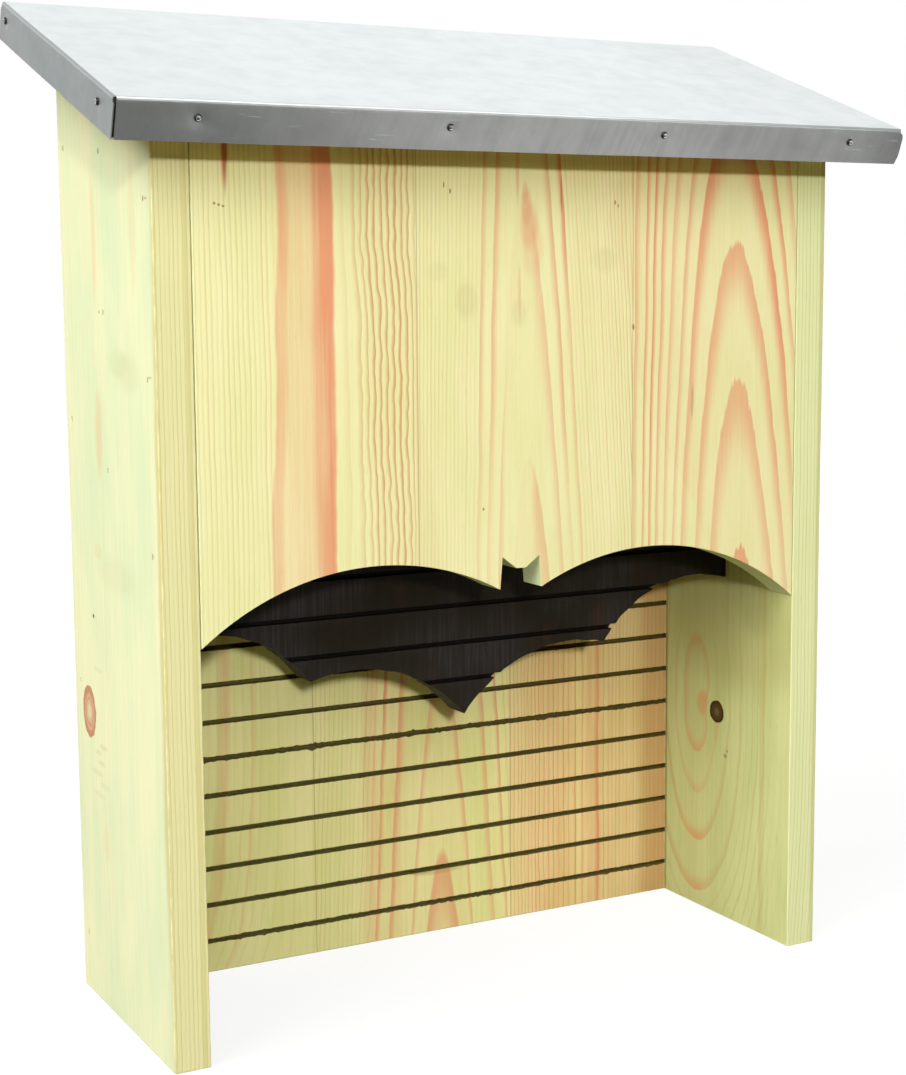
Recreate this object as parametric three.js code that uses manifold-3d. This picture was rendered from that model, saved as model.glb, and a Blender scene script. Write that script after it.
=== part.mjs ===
// A wooden bat box with a folded sheet-metal roof cap.
// Millimetres. +X is to the right, +Y runs from the front to the back and +Z is up.
// The pieces are drawn with the front edges of the sides at y = 0 and the whole box standing on z = 0.
// The last lines of the file move the finished box so that the middle of its outer size is over the origin.

import * as THREE from "three";
import { mergeVertices } from "three/addons/utils/BufferGeometryUtils.js";
import Module from "manifold-3d";

const wasm = await Module();
wasm.setup();

// Boards and carcass
const boardThickness = 18;
const boxWidth = 377;
const boxDepth = 138;
const frontHeight = 437;
const frontPanelFit = 0.5;
const innerBoardFit = 0.2;
const frontCrevice = 42.5;
const passageHeight = 18;

// Roof
const roofPitch = THREE.MathUtils.degToRad(20);
const roofSideOverhang = 26;
const roofOverhang = 31;
const roofSeatGap = 0.3;
const capSheet = 0.5;
const capGap = 0.2;
const capSkirt = 18.5;
const capFoldRadius = 1.5;
const capClipWidth = 3;
const capClipHeight = 6;

// Saw kerfs that the bats cling to
const kerfPitch = 20;
const kerfWidth = 2.5;
const kerfDepth = 4;
const lowestBackKerf = 17.4;
const lowestPartitionKerf = 159;
const kerfTopMargin = 12;

// The upper half of the bat, sawn out of the front panel
const wingCornerHeight = 199.2;
const frontArchRise = 24.2;
const toothHalfWidth = 12;
const toothHeight = 216;
const earHalfWidth = 10.7;
const earHeight = 232.2;
const headHalfWidth = 2.6;
const headHeight = 226.2;
const frontFigureTilt = THREE.MathUtils.degToRad(0.45);

// The lower half of the bat, sawn out of the partition
const tailHeight = 140;
const wingPointHalfSpan = 88.8;
const wingPointHeight = 168.8;
const wingRootHeight = 196.5;
const scallopRise = 13.9;
const partitionFigureTilt = THREE.MathUtils.degToRad(-1.4);

// Brads through the sides
const bradLength = 38;
const bradShankWidth = 1.25;
const bradShankDepth = 1.05;
const bradHeadWidth = 2.2;
const bradHeadDepth = 1.3;
const bradHeadThickness = 0.8;
const bradSunk = 0.3;
const frontBradInset = 11.5;
const partitionBradInset = 13;
const backBradInset = 9.5;
const frontBradRow = { bottomInset: 44.8, topInset: 35.2, count: 3 };
const partitionBradRow = { bottomInset: 82.5, topInset: 10, count: 3 };
const backBradRow = { bottomInset: 31, topInset: 48.2, count: 4 };

// Domed nails through the skirt of the cap
const capNailLength = 20;
const capNailRadius = 0.9;
const capNailHeadRadius = 1.8;
const capNailHeadHeight = 1.2;
const capNailDrop = 8;
const capNailEndInset = 9;
const capNailFrontInset = 21.5;
const frontNailShares = [-0.4105, -0.1235, 0.153, 0.4225];

// Flat-headed nails through the roof board into the sides
const roofNailLength = 50;
const roofNailRadius = 1.25;
const roofNailHeadRadius = 2.75;
const roofNailHeadThickness = 1;
const roofNailFrontInset = 30;
const roofNailBackInset = 36;

// Clearances and drawing
const fastenerClearance = 0.15;
const nailSeat = 0.1;
const overrun = 5;
const arcSegments = 24;
const roundSides = 16;
const foldSegments = 4;
const domeSegments = 4;

// Sizes worked out from the ones above
const halfWidth = boxWidth / 2;
const innerHalfWidth = halfWidth - boardThickness;
const backPanelFront = boxDepth - boardThickness;
const partitionFront = boardThickness + frontCrevice;
const partitionBack = partitionFront + boardThickness;
const roofWidth = boxWidth + 2 * roofSideOverhang;
const roofLength = (boxDepth + roofOverhang) / Math.cos(roofPitch);
const roofStack = boardThickness + capGap + capSheet + roofSeatGap;
const roofFrontZ =
  frontHeight - roofOverhang * Math.tan(roofPitch) + roofStack / Math.cos(roofPitch);
const roofBackZ = roofFrontZ + roofLength * Math.sin(roofPitch);
const roofBackY =
  roofLength * Math.cos(roofPitch) + capSkirt * Math.sin(roofPitch) - roofOverhang;
const partitionTop = roofUndersideAt(partitionFront) - passageHeight;
const capInsideTop = -capSheet - capGap;

// The roof's own frame: x to the right, y up the slope and z out of the sheet, from its front top edge
const roofFrame = new THREE.Matrix4()
  .makeRotationX(roofPitch)
  .setPosition(0, -roofOverhang, roofFrontZ);
const boxFrame = new THREE.Matrix4();

const treatedPine = new THREE.MeshStandardMaterial({ color: 0xe2dda6, roughness: 0.72, metalness: 0 });
const sidePine = new THREE.MeshStandardMaterial({ color: 0xe6ecc0, roughness: 0.74, metalness: 0 });
const backPine = new THREE.MeshStandardMaterial({ color: 0xd3b983, roughness: 0.76, metalness: 0 });
const stainedPine = new THREE.MeshStandardMaterial({ color: 0x2a2421, roughness: 0.62, metalness: 0 });
const galvanisedSheet = new THREE.MeshStandardMaterial({ color: 0xc9d1d3, roughness: 0.38, metalness: 0.9 });
const brightSteel = new THREE.MeshStandardMaterial({ color: 0xb9bcbd, roughness: 0.22, metalness: 1 });
const bradSteel = new THREE.MeshStandardMaterial({ color: 0x6f7064, roughness: 0.5, metalness: 0.8 });

// Height of the boards' top edges under the roof, at a distance y behind the front
function roofUndersideAt(y) {
  return frontHeight + y * Math.tan(roofPitch);
}

// A closed geometry as a solid that can be joined and cut
function solidOf(geometry) {
  const bare = geometry.clone();
  bare.deleteAttribute("normal");
  bare.deleteAttribute("uv");
  const merged = mergeVertices(bare);
  const mesh = new wasm.Mesh({
    numProp: 3,
    vertProperties: merged.attributes.position.array,
    triVerts: new Uint32Array(merged.index.array),
  });
  return new wasm.Manifold(mesh);
}

// A solid back as a geometry with flat faces
function geometryOf(solid) {
  const mesh = solid.getMesh();
  const indexed = new THREE.BufferGeometry();
  indexed.setAttribute("position", new THREE.BufferAttribute(mesh.vertProperties, mesh.numProp));
  indexed.setIndex(new THREE.BufferAttribute(mesh.triVerts, 1));
  const geometry = indexed.toNonIndexed();
  geometry.computeVertexNormals();
  return geometry;
}

// What is left of a solid when each of the cutters is taken out of it
function cut(solid, cutters) {
  return cutters.reduce((left, cutter) => left.subtract(cutter), solid);
}

// Several solids as one
function join(solids) {
  return solids.reduce((whole, solid) => whole.add(solid));
}

// A box given by its lowest and highest x, y and z
function boxSolid([x0, x1], [y0, y1], [z0, z1], frame = boxFrame) {
  const geometry = new THREE.BoxGeometry(x1 - x0, y1 - y0, z1 - z0);
  geometry.translate((x0 + x1) / 2, (y0 + y1) / 2, (z0 + z1) / 2);
  return solidOf(geometry.applyMatrix4(frame));
}

// An outline in x and z, pushed through from one depth to another
function throughSolid(shape, fromY, toY) {
  const geometry = new THREE.ExtrudeGeometry(shape, {
    depth: toY - fromY,
    bevelEnabled: false,
    curveSegments: arcSegments,
  });
  geometry.rotateX(Math.PI / 2);
  geometry.translate(0, toY, 0);
  return solidOf(geometry);
}

// Adds a circular arc to a path, from its current point to the end, bowed upwards by the rise
function archTo(path, end, rise) {
  const start = path.currentPoint.clone();
  const chord = end.clone().sub(start);
  const half = chord.length() / 2;
  const radius = (half * half + rise * rise) / (2 * rise);
  const up = new THREE.Vector2(-chord.y, chord.x).normalize();
  const centre = start.clone().lerp(end, 0.5).addScaledVector(up, rise - radius);
  const from = start.sub(centre).angle();
  const to = end.clone().sub(centre).angle();
  path.absarc(centre.x, centre.y, radius, from, to, true);
}

// A closed outline turned a little about a point, as a saw template laid on crooked
function tilted(shape, about, angle) {
  const points = shape.getPoints(arcSegments);
  return new THREE.Shape(points.map((point) => point.clone().rotateAround(about, angle)));
}

// The opening under the front panel: two wings, and the head with its ears between two teeth
function upperBatOpening() {
  const corner = new THREE.Vector2(innerHalfWidth, wingCornerHeight);
  const tooth = new THREE.Vector2(toothHalfWidth, toothHeight);
  const shape = new THREE.Shape();
  shape.moveTo(-corner.x - overrun, -overrun);
  shape.lineTo(-corner.x - overrun, corner.y);
  shape.lineTo(-corner.x, corner.y);
  archTo(shape, new THREE.Vector2(-tooth.x, tooth.y), frontArchRise);
  shape.lineTo(-earHalfWidth, earHeight);
  shape.lineTo(-headHalfWidth, headHeight);
  shape.lineTo(headHalfWidth, headHeight);
  shape.lineTo(earHalfWidth, earHeight);
  shape.lineTo(tooth.x, tooth.y);
  archTo(shape, corner, frontArchRise);
  shape.lineTo(corner.x + overrun, corner.y);
  shape.lineTo(corner.x + overrun, -overrun);
  return tilted(shape, new THREE.Vector2(0, toothHeight), -frontFigureTilt);
}

// What is sawn off below the partition: two scallops a side, wing points and the tail between them
function lowerBatOffcut() {
  const root = new THREE.Vector2(innerHalfWidth, wingRootHeight);
  const wingPoint = new THREE.Vector2(wingPointHalfSpan, wingPointHeight);
  const tail = new THREE.Vector2(0, tailHeight);
  const shape = new THREE.Shape();
  shape.moveTo(-root.x - overrun, -overrun);
  shape.lineTo(-root.x - overrun, root.y);
  shape.lineTo(-root.x, root.y);
  archTo(shape, new THREE.Vector2(-wingPoint.x, wingPoint.y), scallopRise);
  archTo(shape, tail, scallopRise);
  archTo(shape, wingPoint, scallopRise);
  archTo(shape, root, scallopRise);
  shape.lineTo(root.x + overrun, root.y);
  shape.lineTo(root.x + overrun, -overrun);
  return tilted(shape, tail, -partitionFigureTilt);
}

// Everything above the seat of the roof board, to cut the boards' tops to the slope
function aboveRoofSeat() {
  const seat = capInsideTop - boardThickness - roofSeatGap;
  return boxSolid(
    [-roofWidth / 2, roofWidth / 2],
    [-overrun, roofLength + capSkirt],
    [seat, seat + boxDepth],
    roofFrame,
  );
}

// Level saw kerfs across a board's front face, from the lowest one up
function kerfSolids(faceY, lowest, top) {
  const kerfs = [];
  for (let z = lowest; z < top - kerfTopMargin; z += kerfPitch) {
    kerfs.push(
      boxSolid(
        [-innerHalfWidth - overrun, innerHalfWidth + overrun],
        [faceY - overrun, faceY + kerfDepth],
        [z - kerfWidth / 2, z + kerfWidth / 2],
      ),
    );
  }
  return kerfs;
}

// A brad drawn along +Z from the surface that it is driven into, with some room round it
function bradSolid(room) {
  const headTop = bradSunk - room;
  const head = boxSolid(
    [-bradHeadWidth / 2 - room, bradHeadWidth / 2 + room],
    [-bradHeadDepth / 2 - room, bradHeadDepth / 2 + room],
    [room > 0 ? -overrun : headTop, bradSunk + bradHeadThickness + room],
  );
  const shank = boxSolid(
    [-bradShankWidth / 2 - room, bradShankWidth / 2 + room],
    [-bradShankDepth / 2 - room, bradShankDepth / 2 + room],
    [bradSunk, bradLength + room],
  );
  return head.add(shank);
}

// A round nail drawn along +Z: the half section of its shank and point, closed by that of its head
function nailSolid(radius, length, headProfile, room) {
  const pointLength = 2 * radius;
  const section = [
    ...headProfile,
    new THREE.Vector2(radius + room, length - pointLength + room),
    new THREE.Vector2(0, length + room),
  ];
  const geometry = new THREE.LatheGeometry(section, roundSides);
  geometry.rotateX(Math.PI / 2);
  return solidOf(geometry);
}

// The half section of a domed head that stands on the surface, from its crown to the shank
function domedHeadProfile() {
  const profile = [];
  for (let step = 0; step <= domeSegments; step += 1) {
    const turn = (Math.PI / 2) * (step / domeSegments);
    const height = capNailHeadHeight * Math.cos(turn) + nailSeat;
    profile.push(new THREE.Vector2(capNailHeadRadius * Math.sin(turn), -height));
  }
  profile.push(new THREE.Vector2(capNailRadius, -nailSeat));
  return profile;
}

// The half section of a flat head that lies in its countersink, with some room round it
function flatHeadProfile(room) {
  const top = room > 0 ? -overrun : nailSeat;
  return [
    new THREE.Vector2(0, top),
    new THREE.Vector2(roofNailHeadRadius + room, top),
    new THREE.Vector2(roofNailHeadRadius + room, nailSeat + roofNailHeadThickness + room),
    new THREE.Vector2(roofNailRadius + room, nailSeat + roofNailHeadThickness + room),
  ];
}

// The half section of a plain hole's mouth
function holeMouthProfile(radius, room) {
  return [new THREE.Vector2(0, -overrun), new THREE.Vector2(radius + room, -overrun)];
}

const fastenerKinds = {
  brad: {
    solid: bradSolid(0),
    hole: bradSolid(fastenerClearance),
    material: bradSteel,
  },
  capNail: {
    solid: nailSolid(capNailRadius, capNailLength, domedHeadProfile(), 0),
    hole: nailSolid(
      capNailRadius,
      capNailLength,
      holeMouthProfile(capNailRadius, fastenerClearance),
      fastenerClearance,
    ),
    material: brightSteel,
  },
  roofNail: {
    solid: nailSolid(roofNailRadius, roofNailLength, flatHeadProfile(0), 0),
    hole: nailSolid(
      roofNailRadius,
      roofNailLength,
      flatHeadProfile(fastenerClearance),
      fastenerClearance,
    ),
    material: brightSteel,
  },
};

// The three boards between the sides, with the depth of their brads and the run of edge that the brads share
function bradRows() {
  return [
    {
      board: "front_panel",
      label: "front_brad",
      y: frontBradInset,
      bottom: wingCornerHeight,
      top: roofUndersideAt(frontBradInset),
      row: frontBradRow,
    },
    {
      board: "bat_partition",
      label: "partition_brad",
      y: partitionFront + partitionBradInset,
      bottom: wingRootHeight,
      top: partitionTop,
      row: partitionBradRow,
    },
    {
      board: "back_panel",
      label: "back_brad",
      y: backPanelFront + backBradInset,
      bottom: 0,
      top: roofUndersideAt(backPanelFront + backBradInset),
      row: backBradRow,
    },
  ];
}

// Every nail and brad: its name, its kind, where its head lies, which way it points and what it holds
function fastenerList() {
  const list = [];
  const along = new THREE.Vector3(0, 0, 1);
  const add = (name, kind, frame, place, direction, boards) => {
    const turn = new THREE.Quaternion().setFromUnitVectors(along, direction);
    list.push({ name, kind, frame, place, turn, boards });
  };
  const sides = [
    { side: "left", sign: -1 },
    { side: "right", sign: 1 },
  ];
  for (const { side, sign } of sides) {
    const inwards = new THREE.Vector3(-sign, 0, 0);
    for (const { board, label, y, bottom, top, row } of bradRows()) {
      const lowest = bottom + row.bottomInset;
      const pitch = (top - row.topInset - lowest) / (row.count - 1);
      for (let index = 0; index < row.count; index += 1) {
        const place = new THREE.Vector3(sign * halfWidth, y, lowest + pitch * index);
        const name = `${label}_${side}_${index + 1}`;
        add(name, "brad", boxFrame, place, inwards, [`${side}_side`, board]);
      }
    }
    [capNailFrontInset, roofLength - capNailEndInset].forEach((y, index) => {
      const place = new THREE.Vector3((sign * roofWidth) / 2, y, -capNailDrop);
      const name = `cap_nail_${side}_${index + 1}`;
      add(name, "capNail", roofFrame, place, inwards, ["roof_cap", "roof_board"]);
    });
    const seatStart = roofOverhang / Math.cos(roofPitch);
    [seatStart + roofNailFrontInset, roofLength - roofNailBackInset].forEach((y, index) => {
      const place = new THREE.Vector3(sign * (halfWidth - boardThickness / 2), y, capInsideTop);
      const name = `roof_nail_${side}_${index + 1}`;
      const down = new THREE.Vector3(0, 0, -1);
      add(name, "roofNail", roofFrame, place, down, ["roof_board", `${side}_side`]);
    });
  }
  frontNailShares.forEach((share, index) => {
    const x = roofWidth * share;
    const front = new THREE.Vector3(x, 0, -capNailDrop);
    const back = new THREE.Vector3(x, roofLength, -capNailDrop);
    const backwards = new THREE.Vector3(0, 1, 0);
    const forwards = new THREE.Vector3(0, -1, 0);
    const pieces = ["roof_cap", "roof_board"];
    add(`cap_nail_front_${index + 1}`, "capNail", roofFrame, front, backwards, pieces);
    add(`cap_nail_back_${index + 1}`, "capNail", roofFrame, back, forwards, pieces);
  });
  return list;
}

const fasteners = fastenerList();

// The holes that the fasteners of one piece leave in it, in that piece's frame
function holesIn(board, frame) {
  const toFrame = frame.clone().invert();
  return fasteners
    .filter((fastener) => fastener.boards.includes(board))
    .map((fastener) => {
      const own = new THREE.Matrix4().compose(fastener.place, fastener.turn, new THREE.Vector3(1, 1, 1));
      const matrix = toFrame.clone().multiply(fastener.frame).multiply(own);
      const geometry = geometryOf(fastenerKinds[fastener.kind].hole).applyMatrix4(matrix);
      return solidOf(geometry);
    });
}

// A side board: full depth, with its top sawn to the slope
function sideBoard(name, outerX, innerX) {
  const [low, high] = [Math.min(outerX, innerX), Math.max(outerX, innerX)];
  const board = boxSolid([low, high], [0, boxDepth], [0, roofBackZ]);
  return cut(board, [aboveRoofSeat(), ...holesIn(name, boxFrame)]);
}

// The front panel, flush with the front edges of the sides, with the wings sawn out of its lower edge
function frontPanel() {
  const half = innerHalfWidth - frontPanelFit;
  const board = boxSolid([-half, half], [0, boardThickness], [0, roofBackZ]);
  const opening = throughSolid(upperBatOpening(), -overrun, boardThickness + overrun);
  return cut(board, [opening, aboveRoofSeat(), ...holesIn("front_panel", boxFrame)]);
}

// The board between the two crevices, with its own kerfs, that stops below the roof
function batPartition() {
  const half = innerHalfWidth - innerBoardFit;
  const board = boxSolid([-half, half], [partitionFront, partitionBack], [0, partitionTop]);
  const offcut = throughSolid(lowerBatOffcut(), partitionFront - overrun, partitionBack + overrun);
  const kerfs = kerfSolids(partitionFront, lowestPartitionKerf, partitionTop);
  return cut(board, [offcut, ...kerfs, ...holesIn("bat_partition", boxFrame)]);
}

// The back panel between the sides, with kerfs up its whole front
function backPanel() {
  const half = innerHalfWidth - innerBoardFit;
  const board = boxSolid([-half, half], [backPanelFront, boxDepth], [0, roofBackZ]);
  const kerfs = kerfSolids(backPanelFront, lowestBackKerf, roofUndersideAt(backPanelFront));
  return cut(board, [aboveRoofSeat(), ...kerfs, ...holesIn("back_panel", boxFrame)]);
}

// The board that carries the cap, in the roof's frame, with eased edges that clear the folds of the sheet
function roofBoard() {
  const eased = capFoldRadius - capSheet;
  const halfX = roofWidth / 2 - capSheet - capGap - eased;
  const halfY = roofLength / 2 - capSheet - capGap - eased;
  const plan = new THREE.Shape([
    new THREE.Vector2(-halfX, -halfY),
    new THREE.Vector2(halfX, -halfY),
    new THREE.Vector2(halfX, halfY),
    new THREE.Vector2(-halfX, halfY),
  ]);
  const geometry = new THREE.ExtrudeGeometry(plan, {
    depth: boardThickness - 2 * eased,
    bevelThickness: eased,
    bevelSize: eased,
    bevelSegments: 1,
  });
  geometry.translate(0, roofLength / 2, capInsideTop - boardThickness + eased);
  return cut(solidOf(geometry), holesIn("roof_board", roofFrame));
}

// The section of the sheet across one fold: a strip of the top, the bend and the skirt
function foldSection(stripLength) {
  const section = new THREE.Shape();
  section.moveTo(stripLength, 0);
  section.lineTo(capFoldRadius, 0);
  section.absarc(capFoldRadius, -capFoldRadius, capFoldRadius, Math.PI / 2, Math.PI, false);
  section.lineTo(0, -capSkirt);
  section.lineTo(capSheet, -capSkirt);
  section.lineTo(capSheet, -capFoldRadius);
  section.absarc(
    capFoldRadius,
    -capFoldRadius,
    capFoldRadius - capSheet,
    Math.PI,
    Math.PI / 2,
    true,
  );
  section.lineTo(stripLength, -capSheet);
  return section;
}

// A folded edge of the given run, drawn along +X with its skirt on the side of lower y
function foldedEdge(run, stripLength) {
  const geometry = new THREE.ExtrudeGeometry(foldSection(stripLength), {
    depth: run,
    bevelEnabled: false,
    curveSegments: foldSegments,
  });
  geometry.translate(0, 0, -run / 2);
  geometry.applyMatrix4(
    new THREE.Matrix4().makeBasis(
      new THREE.Vector3(0, 1, 0),
      new THREE.Vector3(0, 0, 1),
      new THREE.Vector3(1, 0, 0),
    ),
  );
  return geometry;
}

// The clip off the lower right corner of the front skirt
function cornerClip() {
  const right = roofWidth / 2 - capFoldRadius;
  const shape = new THREE.Shape([
    new THREE.Vector2(right - capClipWidth, -capSkirt),
    new THREE.Vector2(right - capClipWidth, -capSkirt - overrun),
    new THREE.Vector2(right + overrun, -capSkirt - overrun),
    new THREE.Vector2(right + overrun, -capSkirt + capClipHeight),
    new THREE.Vector2(right, -capSkirt + capClipHeight),
  ]);
  return throughSolid(shape, -overrun, capSheet + capGap / 2);
}

// The sheet cap in the roof's frame: front and back skirts between side skirts, open at the corners
function roofCap() {
  const half = roofWidth / 2;
  const strip = roofLength / 4;
  const crossRun = roofWidth - 2 * capFoldRadius;
  const slopeRun = roofLength - 2 * capFoldRadius;
  const front = foldedEdge(crossRun, strip);
  const back = front.clone().rotateZ(Math.PI).translate(0, roofLength, 0);
  const left = foldedEdge(slopeRun, strip).rotateZ(-Math.PI / 2).translate(-half, roofLength / 2, 0);
  const right = foldedEdge(slopeRun, strip).rotateZ(Math.PI / 2).translate(half, roofLength / 2, 0);
  const top = boxSolid(
    [-half + capFoldRadius, half - capFoldRadius],
    [capFoldRadius, roofLength - capFoldRadius],
    [-capSheet, 0],
  );
  const skirtTop = -2 * capFoldRadius;
  const leftSkirt = boxSolid([-half, -half + capSheet], [0, roofLength], [-capSkirt, skirtTop]);
  const rightSkirt = boxSolid([half - capSheet, half], [0, roofLength], [-capSkirt, skirtTop]);
  const folded = [front, back, left, right].map(solidOf);
  const sheet = join([top, ...folded, leftSkirt, rightSkirt]);
  return cut(sheet, [cornerClip(), ...holesIn("roof_cap", roofFrame)]);
}

// A named mesh of one piece
function piece(name, solid, material) {
  const mesh = new THREE.Mesh(geometryOf(solid), material);
  mesh.name = name;
  return mesh;
}

const roof = new THREE.Group();
roof.applyMatrix4(roofFrame);
roof.add(
  piece("roof_board", roofBoard(), treatedPine),
  piece("roof_cap", roofCap(), galvanisedSheet),
);

const batBox = new THREE.Group();
batBox.add(
  piece("left_side", sideBoard("left_side", -halfWidth, -innerHalfWidth), sidePine),
  piece("right_side", sideBoard("right_side", halfWidth, innerHalfWidth), sidePine),
  piece("front_panel", frontPanel(), treatedPine),
  piece("bat_partition", batPartition(), stainedPine),
  piece("back_panel", backPanel(), backPine),
  roof,
);

for (const fastener of fasteners) {
  const kind = fastenerKinds[fastener.kind];
  const mesh = piece(fastener.name, kind.solid, kind.material);
  mesh.position.copy(fastener.place);
  mesh.quaternion.copy(fastener.turn);
  const carrier = fastener.frame === roofFrame ? roof : batBox;
  carrier.add(mesh);
}

// The middle of the outer depth, from the roof's front edge to its lower back corner, comes over the origin
batBox.position.y = (roofOverhang - roofBackY) / 2;

export default batBox;
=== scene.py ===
"""Visual model of a wooden bat box with a folded sheet-metal roof cap.

Every board is a copy of its CAD solid with eased arrises and ragged kerfs, and carries a pine or stain
finish whose growth rings, knots and tool marks are procedural. Lengths are in metres, and the finishes
work in millimetres with x to the right, y from the front edges backwards and z up.
"""

import logging
import math
from collections.abc import Callable, Iterable
from dataclasses import dataclass, field
from enum import Enum

import bmesh
import bpy
from mathutils import Matrix, Vector, noise


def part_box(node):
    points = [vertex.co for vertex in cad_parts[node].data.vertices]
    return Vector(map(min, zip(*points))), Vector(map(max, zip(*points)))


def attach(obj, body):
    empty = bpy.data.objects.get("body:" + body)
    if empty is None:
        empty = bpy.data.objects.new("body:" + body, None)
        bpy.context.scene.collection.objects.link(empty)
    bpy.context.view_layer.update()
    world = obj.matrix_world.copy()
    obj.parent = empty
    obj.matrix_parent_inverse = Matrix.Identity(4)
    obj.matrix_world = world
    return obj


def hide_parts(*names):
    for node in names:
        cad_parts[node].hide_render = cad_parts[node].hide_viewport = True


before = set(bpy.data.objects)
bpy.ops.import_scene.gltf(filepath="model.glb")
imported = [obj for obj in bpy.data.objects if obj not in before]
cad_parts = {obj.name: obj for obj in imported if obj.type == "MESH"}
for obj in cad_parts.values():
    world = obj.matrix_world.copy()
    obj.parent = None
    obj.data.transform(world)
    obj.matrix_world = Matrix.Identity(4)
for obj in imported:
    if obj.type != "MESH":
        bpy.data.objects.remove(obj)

LOG = logging.getLogger("bat_box")
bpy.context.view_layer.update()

MM = 0.001
PER_MM = (1 / MM, 1 / MM, 1 / MM)
ROOT = "root"
MERGE_DISTANCE = 1e-6
ON_FACE = 1e-5
CUT_SNAP = 1e-7
FLAT_ANGLE = math.radians(0.2)
ARRIS_ANGLE = math.radians(50)
SMOOTH_ANGLE = math.radians(28)
OLD_NORMALS = "custom_normal"
ROOF_PITCH = math.radians(20)

# Kerfs: pitch, width, margin and rim in millimetres, and the depths behind the board's face in metres
KERF_PITCH = 20.0
KERF_WIDTH = 2.5
KERF_MARGIN = 1.0
KERF_RIM = 0.02
KERF_START = 0.1 * MM
KERF_END = 4.2 * MM
# Share of the kerfs' painted shade on their upward-facing floors
KERF_FLOOR_SHADE = 0.88

# Tearing of the kerfs' rims: cuts and grain along the rim, bursts, calm rows and the finer upper rim
TEAR_STEP = 1.4 * MM
TEAR_GRAIN = 1.3 * MM
ROW_SHIFT = 7.3
BURST_GRAIN = 0.2
BURST_START = 0.1
BURST_GAIN = 3.0
CALM_ROW = 0.3
UPPER_RIM = 0.7

# How far in front of a joint the shade of the gap starts, and how dark it is there
JOINT_SHADOW = 1.8 * MM
JOINT_SHADE = 0.5

# Shortest arris that is eased, and how coarsely and how near to the ends the sawn outline wanders
SHORTEST_ARRIS = 22 * MM
WANDER_GRAIN = 9 * MM
WANDER_MARGIN = 1 * MM

# Parts of a face's normal along one axis that tell the kinds of faces apart
SAWN_LEAN = 0.12
CUT_LEAN = 0.3
EDGE_LEAN = 0.35
INNER_LEAN = 0.9
RIM_LEAN = 0.85
FLOOR_LEAN = 0.5

# Height that the grain is drawn around, and the roof board's shift onto its figure, in millimetres
GRAIN_REFERENCE = 330.0
ROOF_GRAIN_SHIFT = 130.0

# Rings between the counts of two staves, and the drift of the rings through a board's thickness
STAVE_RINGS = 60.0
RING_DRIFT = 0.12

# Distances from a nail, in millimetres, at which the sheet is cut for the dimple
DIMPLE_CUTS = (-6.5, -5, -3.8, -2.6, -1.4, 0, 1.4, 2.6, 3.8, 5, 6.5)

# How square to the roof's top a face of the sheet lies: the skirt's most, and the folds' ends
SKIRT_LIE = 0.3
FOLD_LIE = 0.97
FRONT_FOLD = (0.5, 0.93)
FRONT_FACING = -0.2

# Sockets of a Mix node that blends colours
FIRST_COLOUR = 6
SECOND_COLOUR = 7
BLENDED_COLOUR = 2

Colour = tuple[float, float, float, float]
Points = tuple[tuple[float, float], ...]
Triple = tuple[float, float, float]
Nails = list[tuple[str, Vector, Vector]]

WHITE: Colour = (1.0, 1.0, 1.0, 1.0)


def steady(value: float) -> Points:
    """Give a curve that has the same value everywhere."""
    return ((-1000.0, value), (1000.0, value))


def paint(red: float, green: float, blue: float) -> Colour:
    """Turn a colour as seen on screen, 0 to 255, into the renderer's linear colour.

    Args:
        red: Red as seen.
        green: Green as seen.
        blue: Blue as seen.

    Returns:
        The linear colour with full opacity.
    """
    linear = []
    for level in (red, green, blue):
        share = level / 255
        linear.append(share / 12.92 if share <= 0.04045 else ((share + 0.055) / 1.055) ** 2.4)
    return (linear[0], linear[1], linear[2], 1.0)


class Slot(Enum):
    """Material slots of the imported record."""

    SIDE_PINE = "side_pine"
    FRONT_PINE = "front_pine"
    BACK_PINE = "back_pine"
    STAINED_PINE = "stained_pine"
    GALVANISED_SHEET = "galvanised_sheet"
    BRIGHT_STEEL = "bright_steel"


class Signal:
    """A socket of a node tree that can be used in plain arithmetic."""

    def __init__(self, graph: "Graph", socket: bpy.types.NodeSocket) -> None:
        """Keep the tree and the socket."""
        self.graph = graph
        self.socket = socket

    def __add__(self, other: "Signal | float") -> "Signal":
        """Sum of two signals."""
        return self.graph.math("ADD", self, other)

    def __sub__(self, other: "Signal | float") -> "Signal":
        """Difference of two signals."""
        return self.graph.math("SUBTRACT", self, other)

    def __mul__(self, other: "Signal | float") -> "Signal":
        """Product of two signals."""
        return self.graph.math("MULTIPLY", self, other)

    def __truediv__(self, other: "Signal | float") -> "Signal":
        """Quotient of two signals."""
        return self.graph.math("DIVIDE", self, other)

    __radd__ = __add__
    __rmul__ = __mul__

    def flipped(self) -> "Signal":
        """One minus the signal."""
        return self.graph.math("SUBTRACT", 1.0, self)

    def clamped(self) -> "Signal":
        """The signal kept between 0 and 1."""
        return self.graph.node("ShaderNodeClamp", Value=self)


Value = Signal | float | Colour | Triple


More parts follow.
